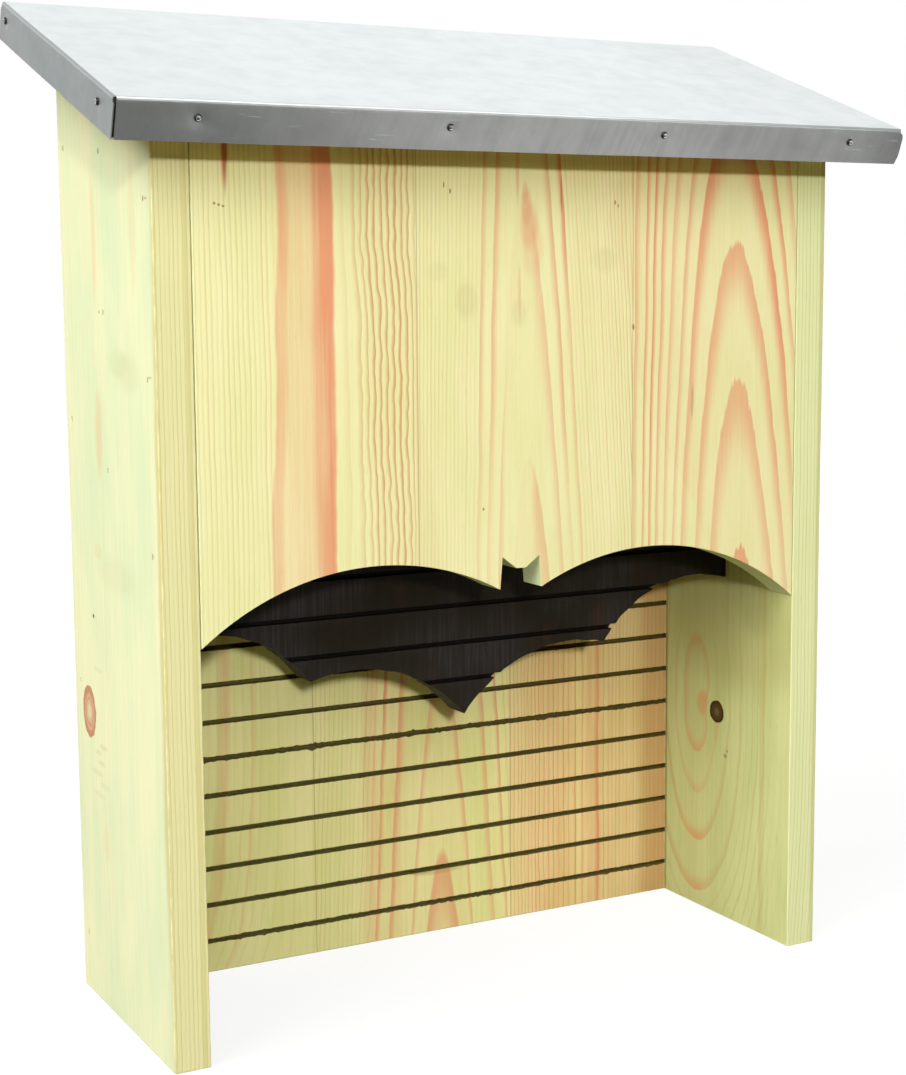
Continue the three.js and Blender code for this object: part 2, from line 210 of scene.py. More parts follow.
class Graph:
    """Nodes and links of one shader tree, made with short calls."""

    def __init__(self, tree: bpy.types.NodeTree) -> None:
        """Keep the tree."""
        self.tree = tree

    def feed(self, socket: bpy.types.NodeSocket, value: Value) -> None:
        """Link a signal to an input, or set the input to a constant.

        Args:
            socket: The input socket.
            value: A signal, a number, a colour or a triple.
        """
        if isinstance(value, Signal):
            self.tree.links.new(value.socket, socket)
        else:
            socket.default_value = value

    def raw(self, kind: str, settings: dict[str, object] | None = None) -> bpy.types.Node:
        """Add a bare node.

        Args:
            kind: The node's type name.
            settings: Attributes to set on it.

        Returns:
            The node.
        """
        node = self.tree.nodes.new(kind)
        for name, value in (settings or {}).items():
            setattr(node, name, value)
        return node

    def node(
        self, kind: str, settings: dict[str, object] | None = None, out: str | int = 0, **inputs: Value
    ) -> Signal:
        """Add a node, feed its named inputs and give one of its outputs.

        Args:
            kind: The node's type name.
            settings: Attributes to set on it.
            out: The output that is wanted.
            inputs: Values by input name, with _ for a blank.

        Returns:
            The wanted output.
        """
        node = self.raw(kind, settings)
        for name, value in inputs.items():
            self.feed(node.inputs[name.replace("_", " ")], value)
        return Signal(self, node.outputs[out])

    def math(self, operation: str, *values: Value) -> Signal:
        """Add a Math node.

        Args:
            operation: The operation's name.
            values: One to three operands.

        Returns:
            The result.
        """
        node = self.raw("ShaderNodeMath", {"operation": operation})
        for socket, value in zip(node.inputs, values):
            self.feed(socket, value)
        return Signal(self, node.outputs[0])

    def scaled(self, vector: Signal, factors: Triple) -> Signal:
        """Multiply a vector by one factor for each axis."""
        node = self.raw("ShaderNodeVectorMath", {"operation": "MULTIPLY"})
        self.feed(node.inputs[0], vector)
        self.feed(node.inputs[1], factors)
        return Signal(self, node.outputs[0])

    def axes(self, vector: Signal) -> tuple[Signal, Signal, Signal]:
        """Split a vector into x, y and z."""
        node = self.raw("ShaderNodeSeparateXYZ")
        self.feed(node.inputs[0], vector)
        return tuple(Signal(self, socket) for socket in node.outputs)

    def joined(self, x: Value, y: Value, z: Value) -> Signal:
        """Make a vector of x, y and z."""
        return self.node("ShaderNodeCombineXYZ", X=x, Y=y, Z=z)

    def noise(self, vector: Signal, scale: float = 1.0, detail: float = 2.0, rough: float = 0.5) -> Signal:
        """Smooth noise around one half."""
        return self.node("ShaderNodeTexNoise", Vector=vector, Scale=scale, Detail=detail, Roughness=rough)

    def swing(self, vector: Signal, scale: float = 1.0, detail: float = 2.0) -> Signal:
        """Smooth noise around zero, from about minus one to one."""
        return (self.noise(vector, scale, detail) - 0.5) * 2.0

    def lerp(self, amount: Signal, first: Value, second: Value) -> Signal:
        """Blend two numbers."""
        return self.node("ShaderNodeMix", {"data_type": "FLOAT"}, Factor=amount, A=first, B=second)

    def face_mask(self, name: str) -> Signal:
        """Read a mask that is kept on the faces of a piece."""
        return self.node("ShaderNodeAttribute", {"attribute_name": name}, out="Fac")

    def step(self, value: Signal, start: Value, end: Value) -> Signal:
        """Rise smoothly from 0 at start to 1 at end, or fall where start is the greater."""
        smooth = {"interpolation_type": "SMOOTHSTEP"}
        return self.node("ShaderNodeMapRange", smooth, Value=value, From_Min=start, From_Max=end)

    def mix(self, amount: Value, first: Value, second: Value, blend: str = "MIX") -> Signal:
        """Blend two colours.

        Args:
            amount: Share of the second colour.
            first: The first colour.
            second: The second colour.
            blend: The way of blending.

        Returns:
            The blended colour.
        """
        node = self.raw("ShaderNodeMix", {"data_type": "RGBA", "blend_type": blend})
        self.feed(node.inputs["Factor"], amount)
        self.feed(node.inputs[FIRST_COLOUR], first)
        self.feed(node.inputs[SECOND_COLOUR], second)
        return Signal(self, node.outputs[BLENDED_COLOUR])

    def shaded(self, colour: Signal, shade: Signal) -> Signal:
        """Multiply a colour by one number."""
        return self.mix(1.0, colour, self.joined(shade, shade, shade), "MULTIPLY")

    def millimetres(self, **moves: Triple) -> Signal:
        """Give the object's own place in millimetres, after a shift (Location) or turn (Rotation)."""
        source = self.node("ShaderNodeTexCoord", out="Object")
        return self.node("ShaderNodeMapping", Vector=source, Scale=PER_MM, **moves)

    def bump(self, shader: bpy.types.Node, strength: float, rise: float, height: Signal) -> None:
        """Feed a height, with its full rise in metres, into a shader's normal."""
        normal = self.node("ShaderNodeBump", out="Normal", Strength=strength, Distance=rise, Height=height)
        self.feed(shader.inputs["Normal"], normal)

    def curve(self, value: Signal, points: Points) -> Signal | float:
        """Map a value through straight stretches between hand-set points.

        Args:
            value: The value to map.
            points: Pairs of input and output, in rising order of input.

        Returns:
            The mapped value, or a plain number where the points are level.
        """
        low, high = points[0][0], points[-1][0]
        floor = min(level for _, level in points)
        span = max(level for _, level in points) - floor
        if span == 0:
            return floor
        node = self.raw("ShaderNodeFloatCurve")
        line = node.mapping.curves[0].points
        while len(line) > 2:
            line.remove(line[-1])
        for index, (place, level) in enumerate(points):
            at = ((place - low) / (high - low), (level - floor) / span)
            point = line[index] if index < 2 else line.new(*at)
            point.location = at
            point.handle_type = "VECTOR"
        node.mapping.update()
        self.feed(node.inputs["Value"], (value - low) / (high - low))
        return Signal(self, node.outputs[0]) * span + floor

    def use(self, group: bpy.types.NodeTree, **inputs: Value) -> dict[str, Signal]:
        """Place a node group.

        Args:
            group: The group's tree.
            inputs: Values by input name, with _ for a blank.

        Returns:
            Its outputs by name.
        """
        node = self.raw("ShaderNodeGroup", {"node_tree": group})
        for name, value in inputs.items():
            self.feed(node.inputs[name.replace("_", " ")], value)
        return {socket.name: Signal(self, socket) for socket in node.outputs}


GroupBody = Callable[[Graph, dict[str, Signal]], dict[str, Signal]]


def effect(
    name: str, inputs: dict[str, float | None], outputs: Iterable[str], body: GroupBody
) -> bpy.types.NodeTree:
    """Make a node group for an effect that several finishes share.

    Args:
        name: The group's name.
        inputs: Default of each number input, with None for a vector input.
        outputs: Names of the number outputs.
        body: Fills the group and gives its outputs by name.

    Returns:
        The group's tree.
    """
    tree = bpy.data.node_groups.new(name, "ShaderNodeTree")
    for label, default in inputs.items():
        kind = "NodeSocketVector" if default is None else "NodeSocketFloat"
        socket = tree.interface.new_socket(label, in_out="INPUT", socket_type=kind)
        if default is not None:
            socket.default_value = default
    for label in outputs:
        tree.interface.new_socket(label, in_out="OUTPUT", socket_type="NodeSocketFloat")
    graph = Graph(tree)
    entry = graph.raw("NodeGroupInput")
    leave = graph.raw("NodeGroupOutput")
    given = {socket.name: Signal(graph, socket) for socket in entry.outputs if socket.name}
    for label, signal in body(graph, given).items():
        graph.feed(leave.inputs[label], signal)
    return tree


def ring_profile(graph: Graph, given: dict[str, Signal]) -> dict[str, Signal]:
    """Late wood that builds up through each growth ring and ends sharply at its outer edge."""
    phase = given["Phase"]
    share = graph.math("FRACT", phase)
    rise = graph.step(share, given["Onset"], 0.95)
    fall = graph.step(share, 1.0, 0.955)
    number = graph.math("FLOOR", phase)
    chance = graph.node("ShaderNodeTexWhiteNoise", {"noise_dimensions": "1D"}, W=number)
    return {"Late Wood": graph.math("POWER", rise, 1.3) * fall, "Chance": chance}


def fibre(graph: Graph, given: dict[str, Signal]) -> dict[str, Signal]:
    """Fine fibres, short dark flecks, longer streaks and soft clouds that run along z."""
    place = given["Vector"]
    fine = graph.swing(graph.scaled(place, (2.2, 2.2, 0.06)), detail=3.0)
    streak = graph.swing(graph.scaled(place, (0.55, 0.55, 0.012)), detail=2.0)
    cloud = graph.swing(graph.scaled(place, (0.035, 0.035, 0.012)), detail=2.0)
    fleck = graph.step(graph.noise(graph.scaled(place, (1.5, 1.5, 0.11)), detail=1.0), 0.66, 0.8)
    return {"Fine": fine, "Streak": streak, "Cloud": cloud, "Fleck": fleck}


def spot(graph: Graph, given: dict[str, Signal]) -> dict[str, Signal]:
    """Distance from an oval's centre in units of its half size, and a soft mask that fills it."""
    across = (given["Across"] - given["Centre Across"]) / given["Half Width"]
    along = (given["Along"] - given["Centre Along"]) / given["Half Height"]
    distance = graph.math("SQRT", across * across + along * along)
    return {"Distance": distance, "Mask": graph.step(distance, 1.0, 0.45)}


def edge_wear(graph: Graph, given: dict[str, Signal]) -> dict[str, Signal]:
    """A patchy mask along the arrises of a board given by its half sizes."""
    gaps = []
    for place, label in zip(graph.axes(given["Vector"]), ("Half X", "Half Y", "Half Z")):
        gaps.append(given[label] - graph.math("ABSOLUTE", place))
    lesser = graph.math("MINIMUM", gaps[0], gaps[1])
    greater = graph.math("MAXIMUM", gaps[0], gaps[1])
    second = graph.math("MAXIMUM", lesser, graph.math("MINIMUM", greater, gaps[2]))
    patch = graph.noise(given["Vector"], scale=0.12, detail=4.0)
    near = graph.step(second, given["Width"], 0.0)
    return {"Mask": near * graph.step(patch, 0.3, 0.65)}


def saw_marks(graph: Graph, given: dict[str, Signal]) -> dict[str, Signal]:
    """Rough end grain with fine steps left by the blade."""
    place = given["Vector"]
    tooth = graph.swing(graph.scaled(place, (0.9, 0.25, 0.9)), detail=3.0)
    pore = graph.swing(graph.scaled(place, (2.6, 2.6, 2.6)), detail=3.0)
    chip = graph.step(graph.noise(graph.scaled(place, (0.42, 0.5, 0.42)), detail=3.0), 0.6, 0.72)
    return {"Relief": tooth * 0.7 + pore * 0.5, "Chip": chip}


class Effects:
    """The shared node groups, made once."""

    def __init__(self) -> None:
        """Make the groups."""
        ring = {"Phase": 0.0, "Onset": 0.5}
        self.rings = effect("ring_profile", ring, ("Late Wood", "Chance"), ring_profile)
        self.fibre = effect("wood_fibre", {"Vector": None}, ("Fine", "Streak", "Cloud", "Fleck"), fibre)
        oval = dict.fromkeys(("Across", "Along", "Centre Across", "Centre Along"), 0.0)
        oval |= {"Half Width": 1.0, "Half Height": 1.0}
        self.spot = effect("oval_spot", oval, ("Distance", "Mask"), spot)
        board = {"Vector": None, "Half X": 1.0, "Half Y": 1.0, "Half Z": 1.0, "Width": 1.5}
        self.wear = effect("edge_wear", board, ("Mask",), edge_wear)
        self.saw = effect("saw_marks", {"Vector": None}, ("Relief", "Chip"), saw_marks)


@dataclass(frozen=True)
class Stave:
    """Growth rings of one stave, as the face of a board sawn a given distance from the heart."""

    start: float
    heart: float
    rings: Points
    depth: Points = steady(0.0)
    lean: float = 0.0
    taper: float = 0.0
    reach: float = 1000.0

    def phase(self, graph: Graph, across: Signal, along: Signal) -> Signal:
        """Count rings outwards from the heart.

        Args:
            graph: The tree to work in.
            across: Millimetres across the board.
            along: Millimetres along the board.

        Returns:
            The ring number at each point.
        """
        height = along - GRAIN_REFERENCE
        aside = across - self.heart + height * self.lean
        depth = graph.curve(along, self.depth)
        distance = graph.math("SQRT", aside * aside + depth * depth)
        if self.taper:
            share = aside / self.reach
            distance = distance + (height * self.taper) / (share * share + 1.0)
        return graph.curve(distance, self.rings)


class Tone(Enum):
    """Which colour of the palette a mark takes."""

    RESIN = "resin"
    LATE = "late"
    SOFT = "soft"
    DARK = "dark"
    OLIVE = "olive"


@dataclass(frozen=True)
class Mark:
    """A nick, resin spike, smudge or patch of painted shade: an oval that is darker than the wood round it.
    """

    across: float
    along: float
    half_width: float
    half_height: float
    strength: float = 0.7
    tone: Tone = Tone.RESIN


@dataclass(frozen=True)
class Knot:
    """A knot that the rings flow round."""

    across: float
    along: float
    half_width: float
    half_height: float
    strength: float = 1.0
    dark: float = 0.5


@dataclass(frozen=True)
class Figure:
    """What the grain of a board shows.

    Curves across or along the board are in millimetres. The tint is the share of broad salmon stripes, and
    warmth tells salmon late wood (1) from olive (0). The shade multiplies the colour across the board; below
    one it is painted shade. The face is where the drawn face lies through the board.
    """

    staves: tuple[Stave, ...]
    strength: Points
    tint: Points
    tint_bend: Points = steady(0.0)
    tint_zone: Points = steady(0.0)
    tint_fade: Points = steady(1.0)
    warmth: Points = steady(1.0)
    ripple: Points = steady(1.0)
    shade: Points = steady(1.0)
    face: float = 0.0
    fray: float = 0.0
    edge_tint: Points = steady(0.0)
    edge_strength: float = 0.5
    onset: float = 0.35
    bend: Points = steady(0.0)
    bend_zone: Points = steady(1.0)
    fade: Points = steady(1.0)
    marks: tuple[Mark, ...] = ()
    knots: tuple[Knot, ...] = ()
    edge_pitch: float = 0.0
    waviness: float = 0.7


@dataclass(frozen=True)
class Palette:
    """Colours of a board.

    They are early wood, its greener patches, warm late wood, resin, sawn ends, smudges and patches of painted
    shade, olive late wood, the painted shade of kerfs, specks and bands of painted shade, and the boards'
    edges.
    The cover is how much of the wood the kerfs' painted shade hides.
    """

    pale: Colour
    green: Colour
    late: Colour
    resin: Colour
    sawn: Colour
    soft: Colour = paint(196, 196, 150)
    olive: Colour = paint(200, 186, 118)
    kerf: Colour = paint(72, 62, 6)
    dark: Colour = paint(70, 64, 44)
    kerf_cover: float = 0.93
    edge: Colour = paint(234, 226, 168)


FRONT_PALETTE = Palette(
    pale=paint(246, 241, 186),
    green=paint(236, 235, 171),
    late=paint(234, 161, 121),
    resin=paint(128, 76, 34),
    sawn=paint(232, 250, 204),
    soft=paint(206, 196, 140),
)
SIDE_PALETTE = Palette(
    pale=paint(246, 246, 202),
    green=paint(225, 239, 195),
    late=paint(238, 200, 152),
    resin=paint(188, 112, 84),
    sawn=paint(190, 168, 98),
    soft=paint(206, 204, 154),
    olive=paint(212, 204, 136),
)
# The right board's pine: a darker, greener copy of the side pine, painted shade of the box's inside; its edge
# colour stays bright.
INNER_SHADE_PALETTE = Palette(
    pale=paint(224, 228, 164),
    green=paint(206, 214, 144),
    late=paint(226, 178, 122),
    resin=paint(58, 36, 10),
    sawn=paint(228, 228, 170),
    soft=paint(176, 174, 116),
    edge=paint(240, 244, 188),
    olive=paint(186, 178, 104),
)
BACK_PALETTE = Palette(
    pale=paint(248, 240, 174),
    green=paint(228, 230, 148),
    late=paint(234, 156, 114),
    resin=paint(120, 74, 36),
    olive=paint(204, 212, 126),
    sawn=paint(206, 200, 128),
    soft=paint(176, 150, 88),
)
# The roof board's dark sawn and kerf colours, on its worn arrises and its rim, are painted shade under the
# cap.
DECK_PALETTE = Palette(
    pale=paint(240, 233, 174),
    green=paint(228, 224, 156),
    late=paint(228, 168, 120),
    resin=paint(128, 76, 34),
    sawn=paint(60, 52, 40),
    kerf=paint(14, 12, 10),
    kerf_cover=0.99,
)

FRONT_FIGURE = Figure(
    staves=(
        Stave(
            start=-172.0,
            heart=-171.0,
            rings=((0, 0), (37.5, 15), (41, 16), (52, 17), (70, 18), (76, 19), (82, 20), (115, 29.5)),
        ),
        Stave(
            start=-57.0,
            heart=3.5,
            depth=steady(30.0),
            lean=0.02,
            taper=0.03,
            reach=200.0,
            rings=(
                (24, -1), (28.6, 0), (32.5, 1), (36.3, 2), (40.3, 3), (42, 4), (49.5, 8.5), (68, 18.5),
                (80, 24),
            ),
        ),
        Stave(
            start=66.2,
            heart=131.8,
            depth=steady(13.0),
            lean=0.03,
            taper=0.16,
            reach=36.0,
            rings=(
                (-14, -0.1), (-3.2, 1), (11.2, 2), (22.6, 3), (33.2, 4), (39.4, 5), (46.2, 6),
                (51.7, 7), (56.1, 8), (60.3, 9), (66.3, 10), (76, 12),
            ),
        ),
    ),
    strength=(
        (-171, 0.3), (-134, 0.34), (-130, 0.05), (-101.5, 0.05), (-100.5, 0.3), (-89, 0.4), (-86, 1.3),
        (-60, 1.2), (-57, 0.3), (-24, 0.3), (-22, 0.42), (-18, 0.4), (-16, 0.8), (-11, 0.8), (-9, 0.12),
        (6, 0.12), (9, 0.75), (25, 0.85), (28, 0.35), (64, 0.4), (67, 0.85), (98, 0.75), (113, 1.15),
        (160, 1.2), (171, 0.5),
    ),
    tint=(
        (-171, 0.0), (-131, 0.02), (-129.7, 0.66), (-126, 0.6), (-124.5, 0.3), (-119, 0.3),
        (-113, 0.38), (-110, 0.78), (-103, 1.15), (-101.6, 1.0), (-100.8, 0.0), (-89, 0.05),
        (-86, 0.14), (-57.5, 0.14), (-57, 0.03), (66, 0.03), (66.5, 0.12), (120, 0.1), (171, 0.05),
    ),
    tint_bend=((150, 6.0), (250, 4.0), (320, 0.3), (360, -0.2), (400, -2.0), (440, -0.2)),
    tint_zone=((-150, 1.0), (-122, 1.0), (-113, 0.15), (-101, 0.15), (-98, 0.0)),
    tint_fade=((150, 0.8), (300, 0.85), (380, 1.0), (440, 1.15)),
    warmth=(
        (-171, 0.1), (-138, 0.2), (-132, 1.0), (-100, 1.0), (-92, 0.45), (-57, 0.45), (-54, 0.45),
        (-26, 0.55), (-20, 1.0), (28, 0.9), (62, 0.6), (70, 1.0), (171, 1.0),
    ),
    ripple=((-171, 0.6), (-92, 0.8), (-87, 2.8), (-60, 2.8), (-56, 0.5), (171, 0.5)),
    fray=5.0,
    bend=((150, 4.0), (250, 3.6), (272, 3.4), (290, 2.4), (355, 2.6), (385, 0.0), (440, 0.0)),
    bend_zone=((-171, 0.0), (-135, 0.2), (-100, 0.2), (-88, 1.0), (-60, 1.0), (-57, 0.1), (171, 0.0)),
    fade=((150, 0.75), (250, 0.8), (290, 1.0), (440, 1.0)),
    marks=(
        Mark(-153.5, 438, 2.6, 34, 1.0, Tone.LATE),
        Mark(-153.3, 434, 1.5, 30, 0.55),
        Mark(-158.6, 403.8, 0.8, 0.9),
        Mark(-156.4, 403.2, 0.9, 0.8),
        Mark(-154.2, 402.6, 0.9, 0.7),
        Mark(3.0, 411, 2.2, 7, 0.4, Tone.LATE),
        Mark(3.8, 404, 3.9, 12, 0.45, Tone.LATE),
        Mark(5.2, 395, 6.5, 15, 0.45, Tone.LATE),
        Mark(7.0, 384, 8, 18, 0.22, Tone.LATE),
        Mark(-1.2, 424, 1.3, 22, 0.5, Tone.LATE),
        Mark(-0.4, 362, 1.3, 18, 0.35, Tone.LATE),
        Mark(-42.3, 414.2, 0.5, 1.9, 0.75),
        Mark(-38.7, 411.2, 0.6, 1.6, 0.8),
        Mark(55.6, 407.2, 0.6, 1.5, 0.75),
        Mark(57.4, 405.6, 0.5, 1.1, 0.7),
        Mark(-21.5, 257, 0.7, 1.0),
        Mark(66.2, 345, 0.8, 2.2),
        Mark(23.8, 410, 0.6, 11, 0.5),
        Mark(-1, 353, 6, 9, 0.22, Tone.SOFT),
        Mark(-30, 359, 8, 12, 0.3, Tone.SOFT),
        Mark(-46, 373, 7, 6, 0.16, Tone.SOFT),
        Mark(49, 379, 11, 8, 0.2, Tone.SOFT),
        Mark(103, 306, 1.2, 12, 0.3),
        # A wide dark band just under the roof's skirt: painted shadow of the skirt.
        Mark(0, 432, 300, 10, 0.24, Tone.DARK),
    ),
)
LEFT_FIGURE = Figure(
    staves=(Stave(start=-10.0, heart=-20.0, rings=((0, 0), (60, 7), (110, 15), (130, 20), (170, 27))),),
    strength=((0, 0.1), (60, 0.07), (84, 0.16), (100, 0.2), (112, 0.1), (116, 0.16), (138, 0.18)),
    tint=((0, 0.14), (6, 0.04), (14, 0.0), (76, 0.0), (79, 0.08), (83, 0.0), (138, 0.03)),
    face=-188.5,
    edge_tint=(
        (-189, 0.3), (-186, 0.1), (-176, 0.06), (-174.6, 0.1), (-173.8, 0.85), (-172.6, 0.9), (-171.8, 0.3),
    ),
    edge_strength=0.75,
    bend=((0, 2.0), (90, 10.0), (180, 5.0), (260, 0.0), (320, -4.0), (420, 0.0)),
    bend_zone=((0, 0.1), (70, 0.5), (138, 1.0)),
    marks=(
        Mark(102, 203, 1.9, 1.4, 0.85, Tone.DARK),
        Mark(80, 355, 1.1, 1.2, 0.6, Tone.DARK),
        Mark(40, 327, 22, 12, 0.2, Tone.SOFT),
        Mark(54, 331, 20, 9, 0.2, Tone.SOFT),
        Mark(64, 228, 34, 12, 0.15, Tone.SOFT),
        Mark(91, 137, 9, 1.8, 0.32, Tone.SOFT),
        Mark(99, 133, 7, 1.6, 0.3, Tone.SOFT),
        Mark(93, 128, 8, 1.8, 0.28, Tone.SOFT),
        Mark(100, 122, 11, 2.0, 0.26, Tone.SOFT),
        Mark(88, 117, 9, 1.9, 0.24, Tone.SOFT),
        Mark(97, 111, 11, 2.0, 0.22, Tone.SOFT),
        Mark(97, 176, 11, 1.8, 0.2, Tone.SOFT),
        Mark(86, 390, 3.5, 42, 0.4, Tone.LATE),
        Mark(87, 296, 6.5, 26, 0.5, Tone.LATE),
        Mark(92, 237, 9, 5, 0.25, Tone.LATE),
        Mark(28, 395, 7, 40, 0.2, Tone.LATE),
        Mark(88, 88, 6, 14, 0.2, Tone.LATE),
        Mark(0, 230, 5.5, 250, 0.7, Tone.OLIVE),
        Mark(8, 406, 2.8, 0.8, 0.5),
        Mark(9, 326, 2.4, 0.7, 0.4),
        Mark(11, 244, 2.2, 0.7, 0.35),
    ),
    knots=(Knot(115.5, 151.7, 10.0, 13.0, 1.0, 0.46),),
    edge_pitch=2.2,
    waviness=1.6,
)
RIGHT_FIGURE = Figure(
    staves=(
        Stave(
            start=-10.0,
            heart=88.0,
            depth=((0, 48), (70, 21), (92, 13), (112, 2), (130, 0), (150, 6), (163, 13), (440, 20)),
            rings=(
                (0, 0.2), (13, 1), (22, 2), (33, 3), (45, 4), (50, 5), (55, 6), (60, 7), (66, 8),
                (82, 11), (100, 14),
            ),
        ),
    ),
    strength=(
        (0, 0.1), (18, 0.14), (22, 0.3), (50, 0.26), (70, 0.3), (80, 0.5), (88, 0.75), (97, 0.5), (138, 0.3),
    ),
    warmth=((0, 0.3), (22, 0.4), (50, 0.2), (70, 0.5), (80, 0.9), (97, 0.9), (110, 0.5), (138, 0.4)),
    tint=(
        (0, 0.0), (22, 0.0), (23.5, 0.34), (26.5, 0.3), (28, 0.02), (60, 0.06), (95, 0.1), (108, 0.0),
        (138, 0.04),
    ),
    edge_tint=((170, 0.05), (185, 0.03), (186.5, 0.4), (188.5, 0.45)),
    edge_strength=0.35,
    face=170.5,
    onset=0.6,
    marks=(
        Mark(81.5, 123, 8.5, 10.5, 0.8, Tone.LATE),
        Mark(88, 161, 9, 5, 0.4, Tone.LATE),
        Mark(68, 108, 2.2, 9, 0.35, Tone.LATE),
        Mark(59, 96, 2.2, 1.6, 0.45),
        Mark(57, 99, 1.2, 1.2, 0.45),
        Mark(30, 180, 18, 12, 0.25, Tone.SOFT),
        # This oval darkens the top of the inner face under the front panel: painted shade.
        Mark(50, 172, 95, 48, 0.4, Tone.OLIVE),
    ),
    knots=(Knot(68, 120.5, 6.4, 6.4, 1.15, 0.93),),
    edge_pitch=2.3,
    waviness=1.2,
)
BACK_FIGURE = Figure(
    staves=(
        Stave(start=-172.0, heart=-205.0, rings=((0, -7), (35, 0), (143, 22), (150, 23))),
        Stave(
            start=-62.0,
            heart=17.0,
            depth=steady(20.0),
            taper=0.06,
            reach=100.0,
            rings=((-8, -1), (3.2, 0), (9.7, 1), (22.5, 2), (30.9, 3), (35.7, 4), (73, 17), (90, 22)),
        ),
        Stave(
            start=62.0,
            heart=60.0,
            rings=((0, 0), (22, 9), (42, 15), (52, 17), (63, 18), (70, 20), (75, 22), (100, 32), (112, 36)),
        ),
    ),
    strength=(
        (-170, 0.3), (-150, 0.14), (-66, 0.14), (-60, 0.35), (-35, 0.35), (-31, 0.5), (-20, 0.5),
        (-16, 0.8), (34, 0.85), (60, 0.4), (64, 0.95), (104, 0.7), (124, 0.6), (170, 0.6),
    ),
    tint=(
        (-170, 0.04), (-118, 0.04), (-115.5, 0.4), (-111, 0.35), (-109, 0.04), (-98, 0.04), (-97, 0.25),
        (-94, 0.04), (-62, 0.05), (-34, 0.08), (-31, 0.36), (-25, 0.34), (-22, 0.14), (-10, 0.2),
        (-4, 0.1), (30, 0.12), (33, 0.06), (61, 0.06), (62.5, 0.28), (80, 0.36), (84, 0.42), (103, 0.4),
        (105, 0.3), (113, 0.3), (115, 0.5), (123, 0.5), (125, 0.34), (150, 0.36), (156, 0.6),
        (170, 0.75),
    ),
    # The shade darkens the panel towards both ends: painted shade where the side boards meet it.
    shade=(
        (-172, 0.8), (-150, 0.93), (-110, 0.97), (-60, 0.98), (-20, 1.06), (60, 1.04), (112, 0.98),
        (128, 0.89), (150, 0.84), (172, 0.77),
    ),
    bend=((0, -30.0), (20, -19.0), (45, -11.0), (90, -4.0), (140, -1.3), (200, 0.0)),
    bend_zone=((-170, 1.0), (-110, 0.6), (-62, 0.0), (170, 0.0)),
    face=119.5,
    onset=0.6,
    warmth=(
        (-170, 0.4), (-116, 0.5), (-112, 1.0), (-97, 1.0), (-90, 0.5), (-30, 0.6), (-26, 1.0), (170, 1.0),
    ),
    marks=(
        # The first mark darkens the panel's right end further: painted shade in the corner by the right side.
        Mark(170, 60, 26, 260, 0.55, Tone.SOFT),
        Mark(-135, 30, 62, 90, 0.2, Tone.OLIVE),
        Mark(-157, 150, 1.6, 60, 0.4, Tone.LATE),
        Mark(14, 36, 24, 3.5, 0.35, Tone.SOFT),
        Mark(4, 36, 9, 1.6, 0.3),
    ),
)
ROOF_FIGURE = Figure(
    staves=(
        Stave(
            start=-400.0,
            heart=95.0,
            depth=steady(22.0),
            taper=0.05,
            reach=80.0,
            rings=((0, 0), (150, 26)),
        ),
    ),
    strength=steady(0.6),
    tint=((-50, 0.1), (60, 0.3), (120, 0.1), (250, 0.25)),
)


class Side(Enum):
    """Which of the row's axes runs across a board's face."""

    ACROSS_X = "x"
    ACROSS_Y = "y"
    ACROSS_SLOPE = "slope"


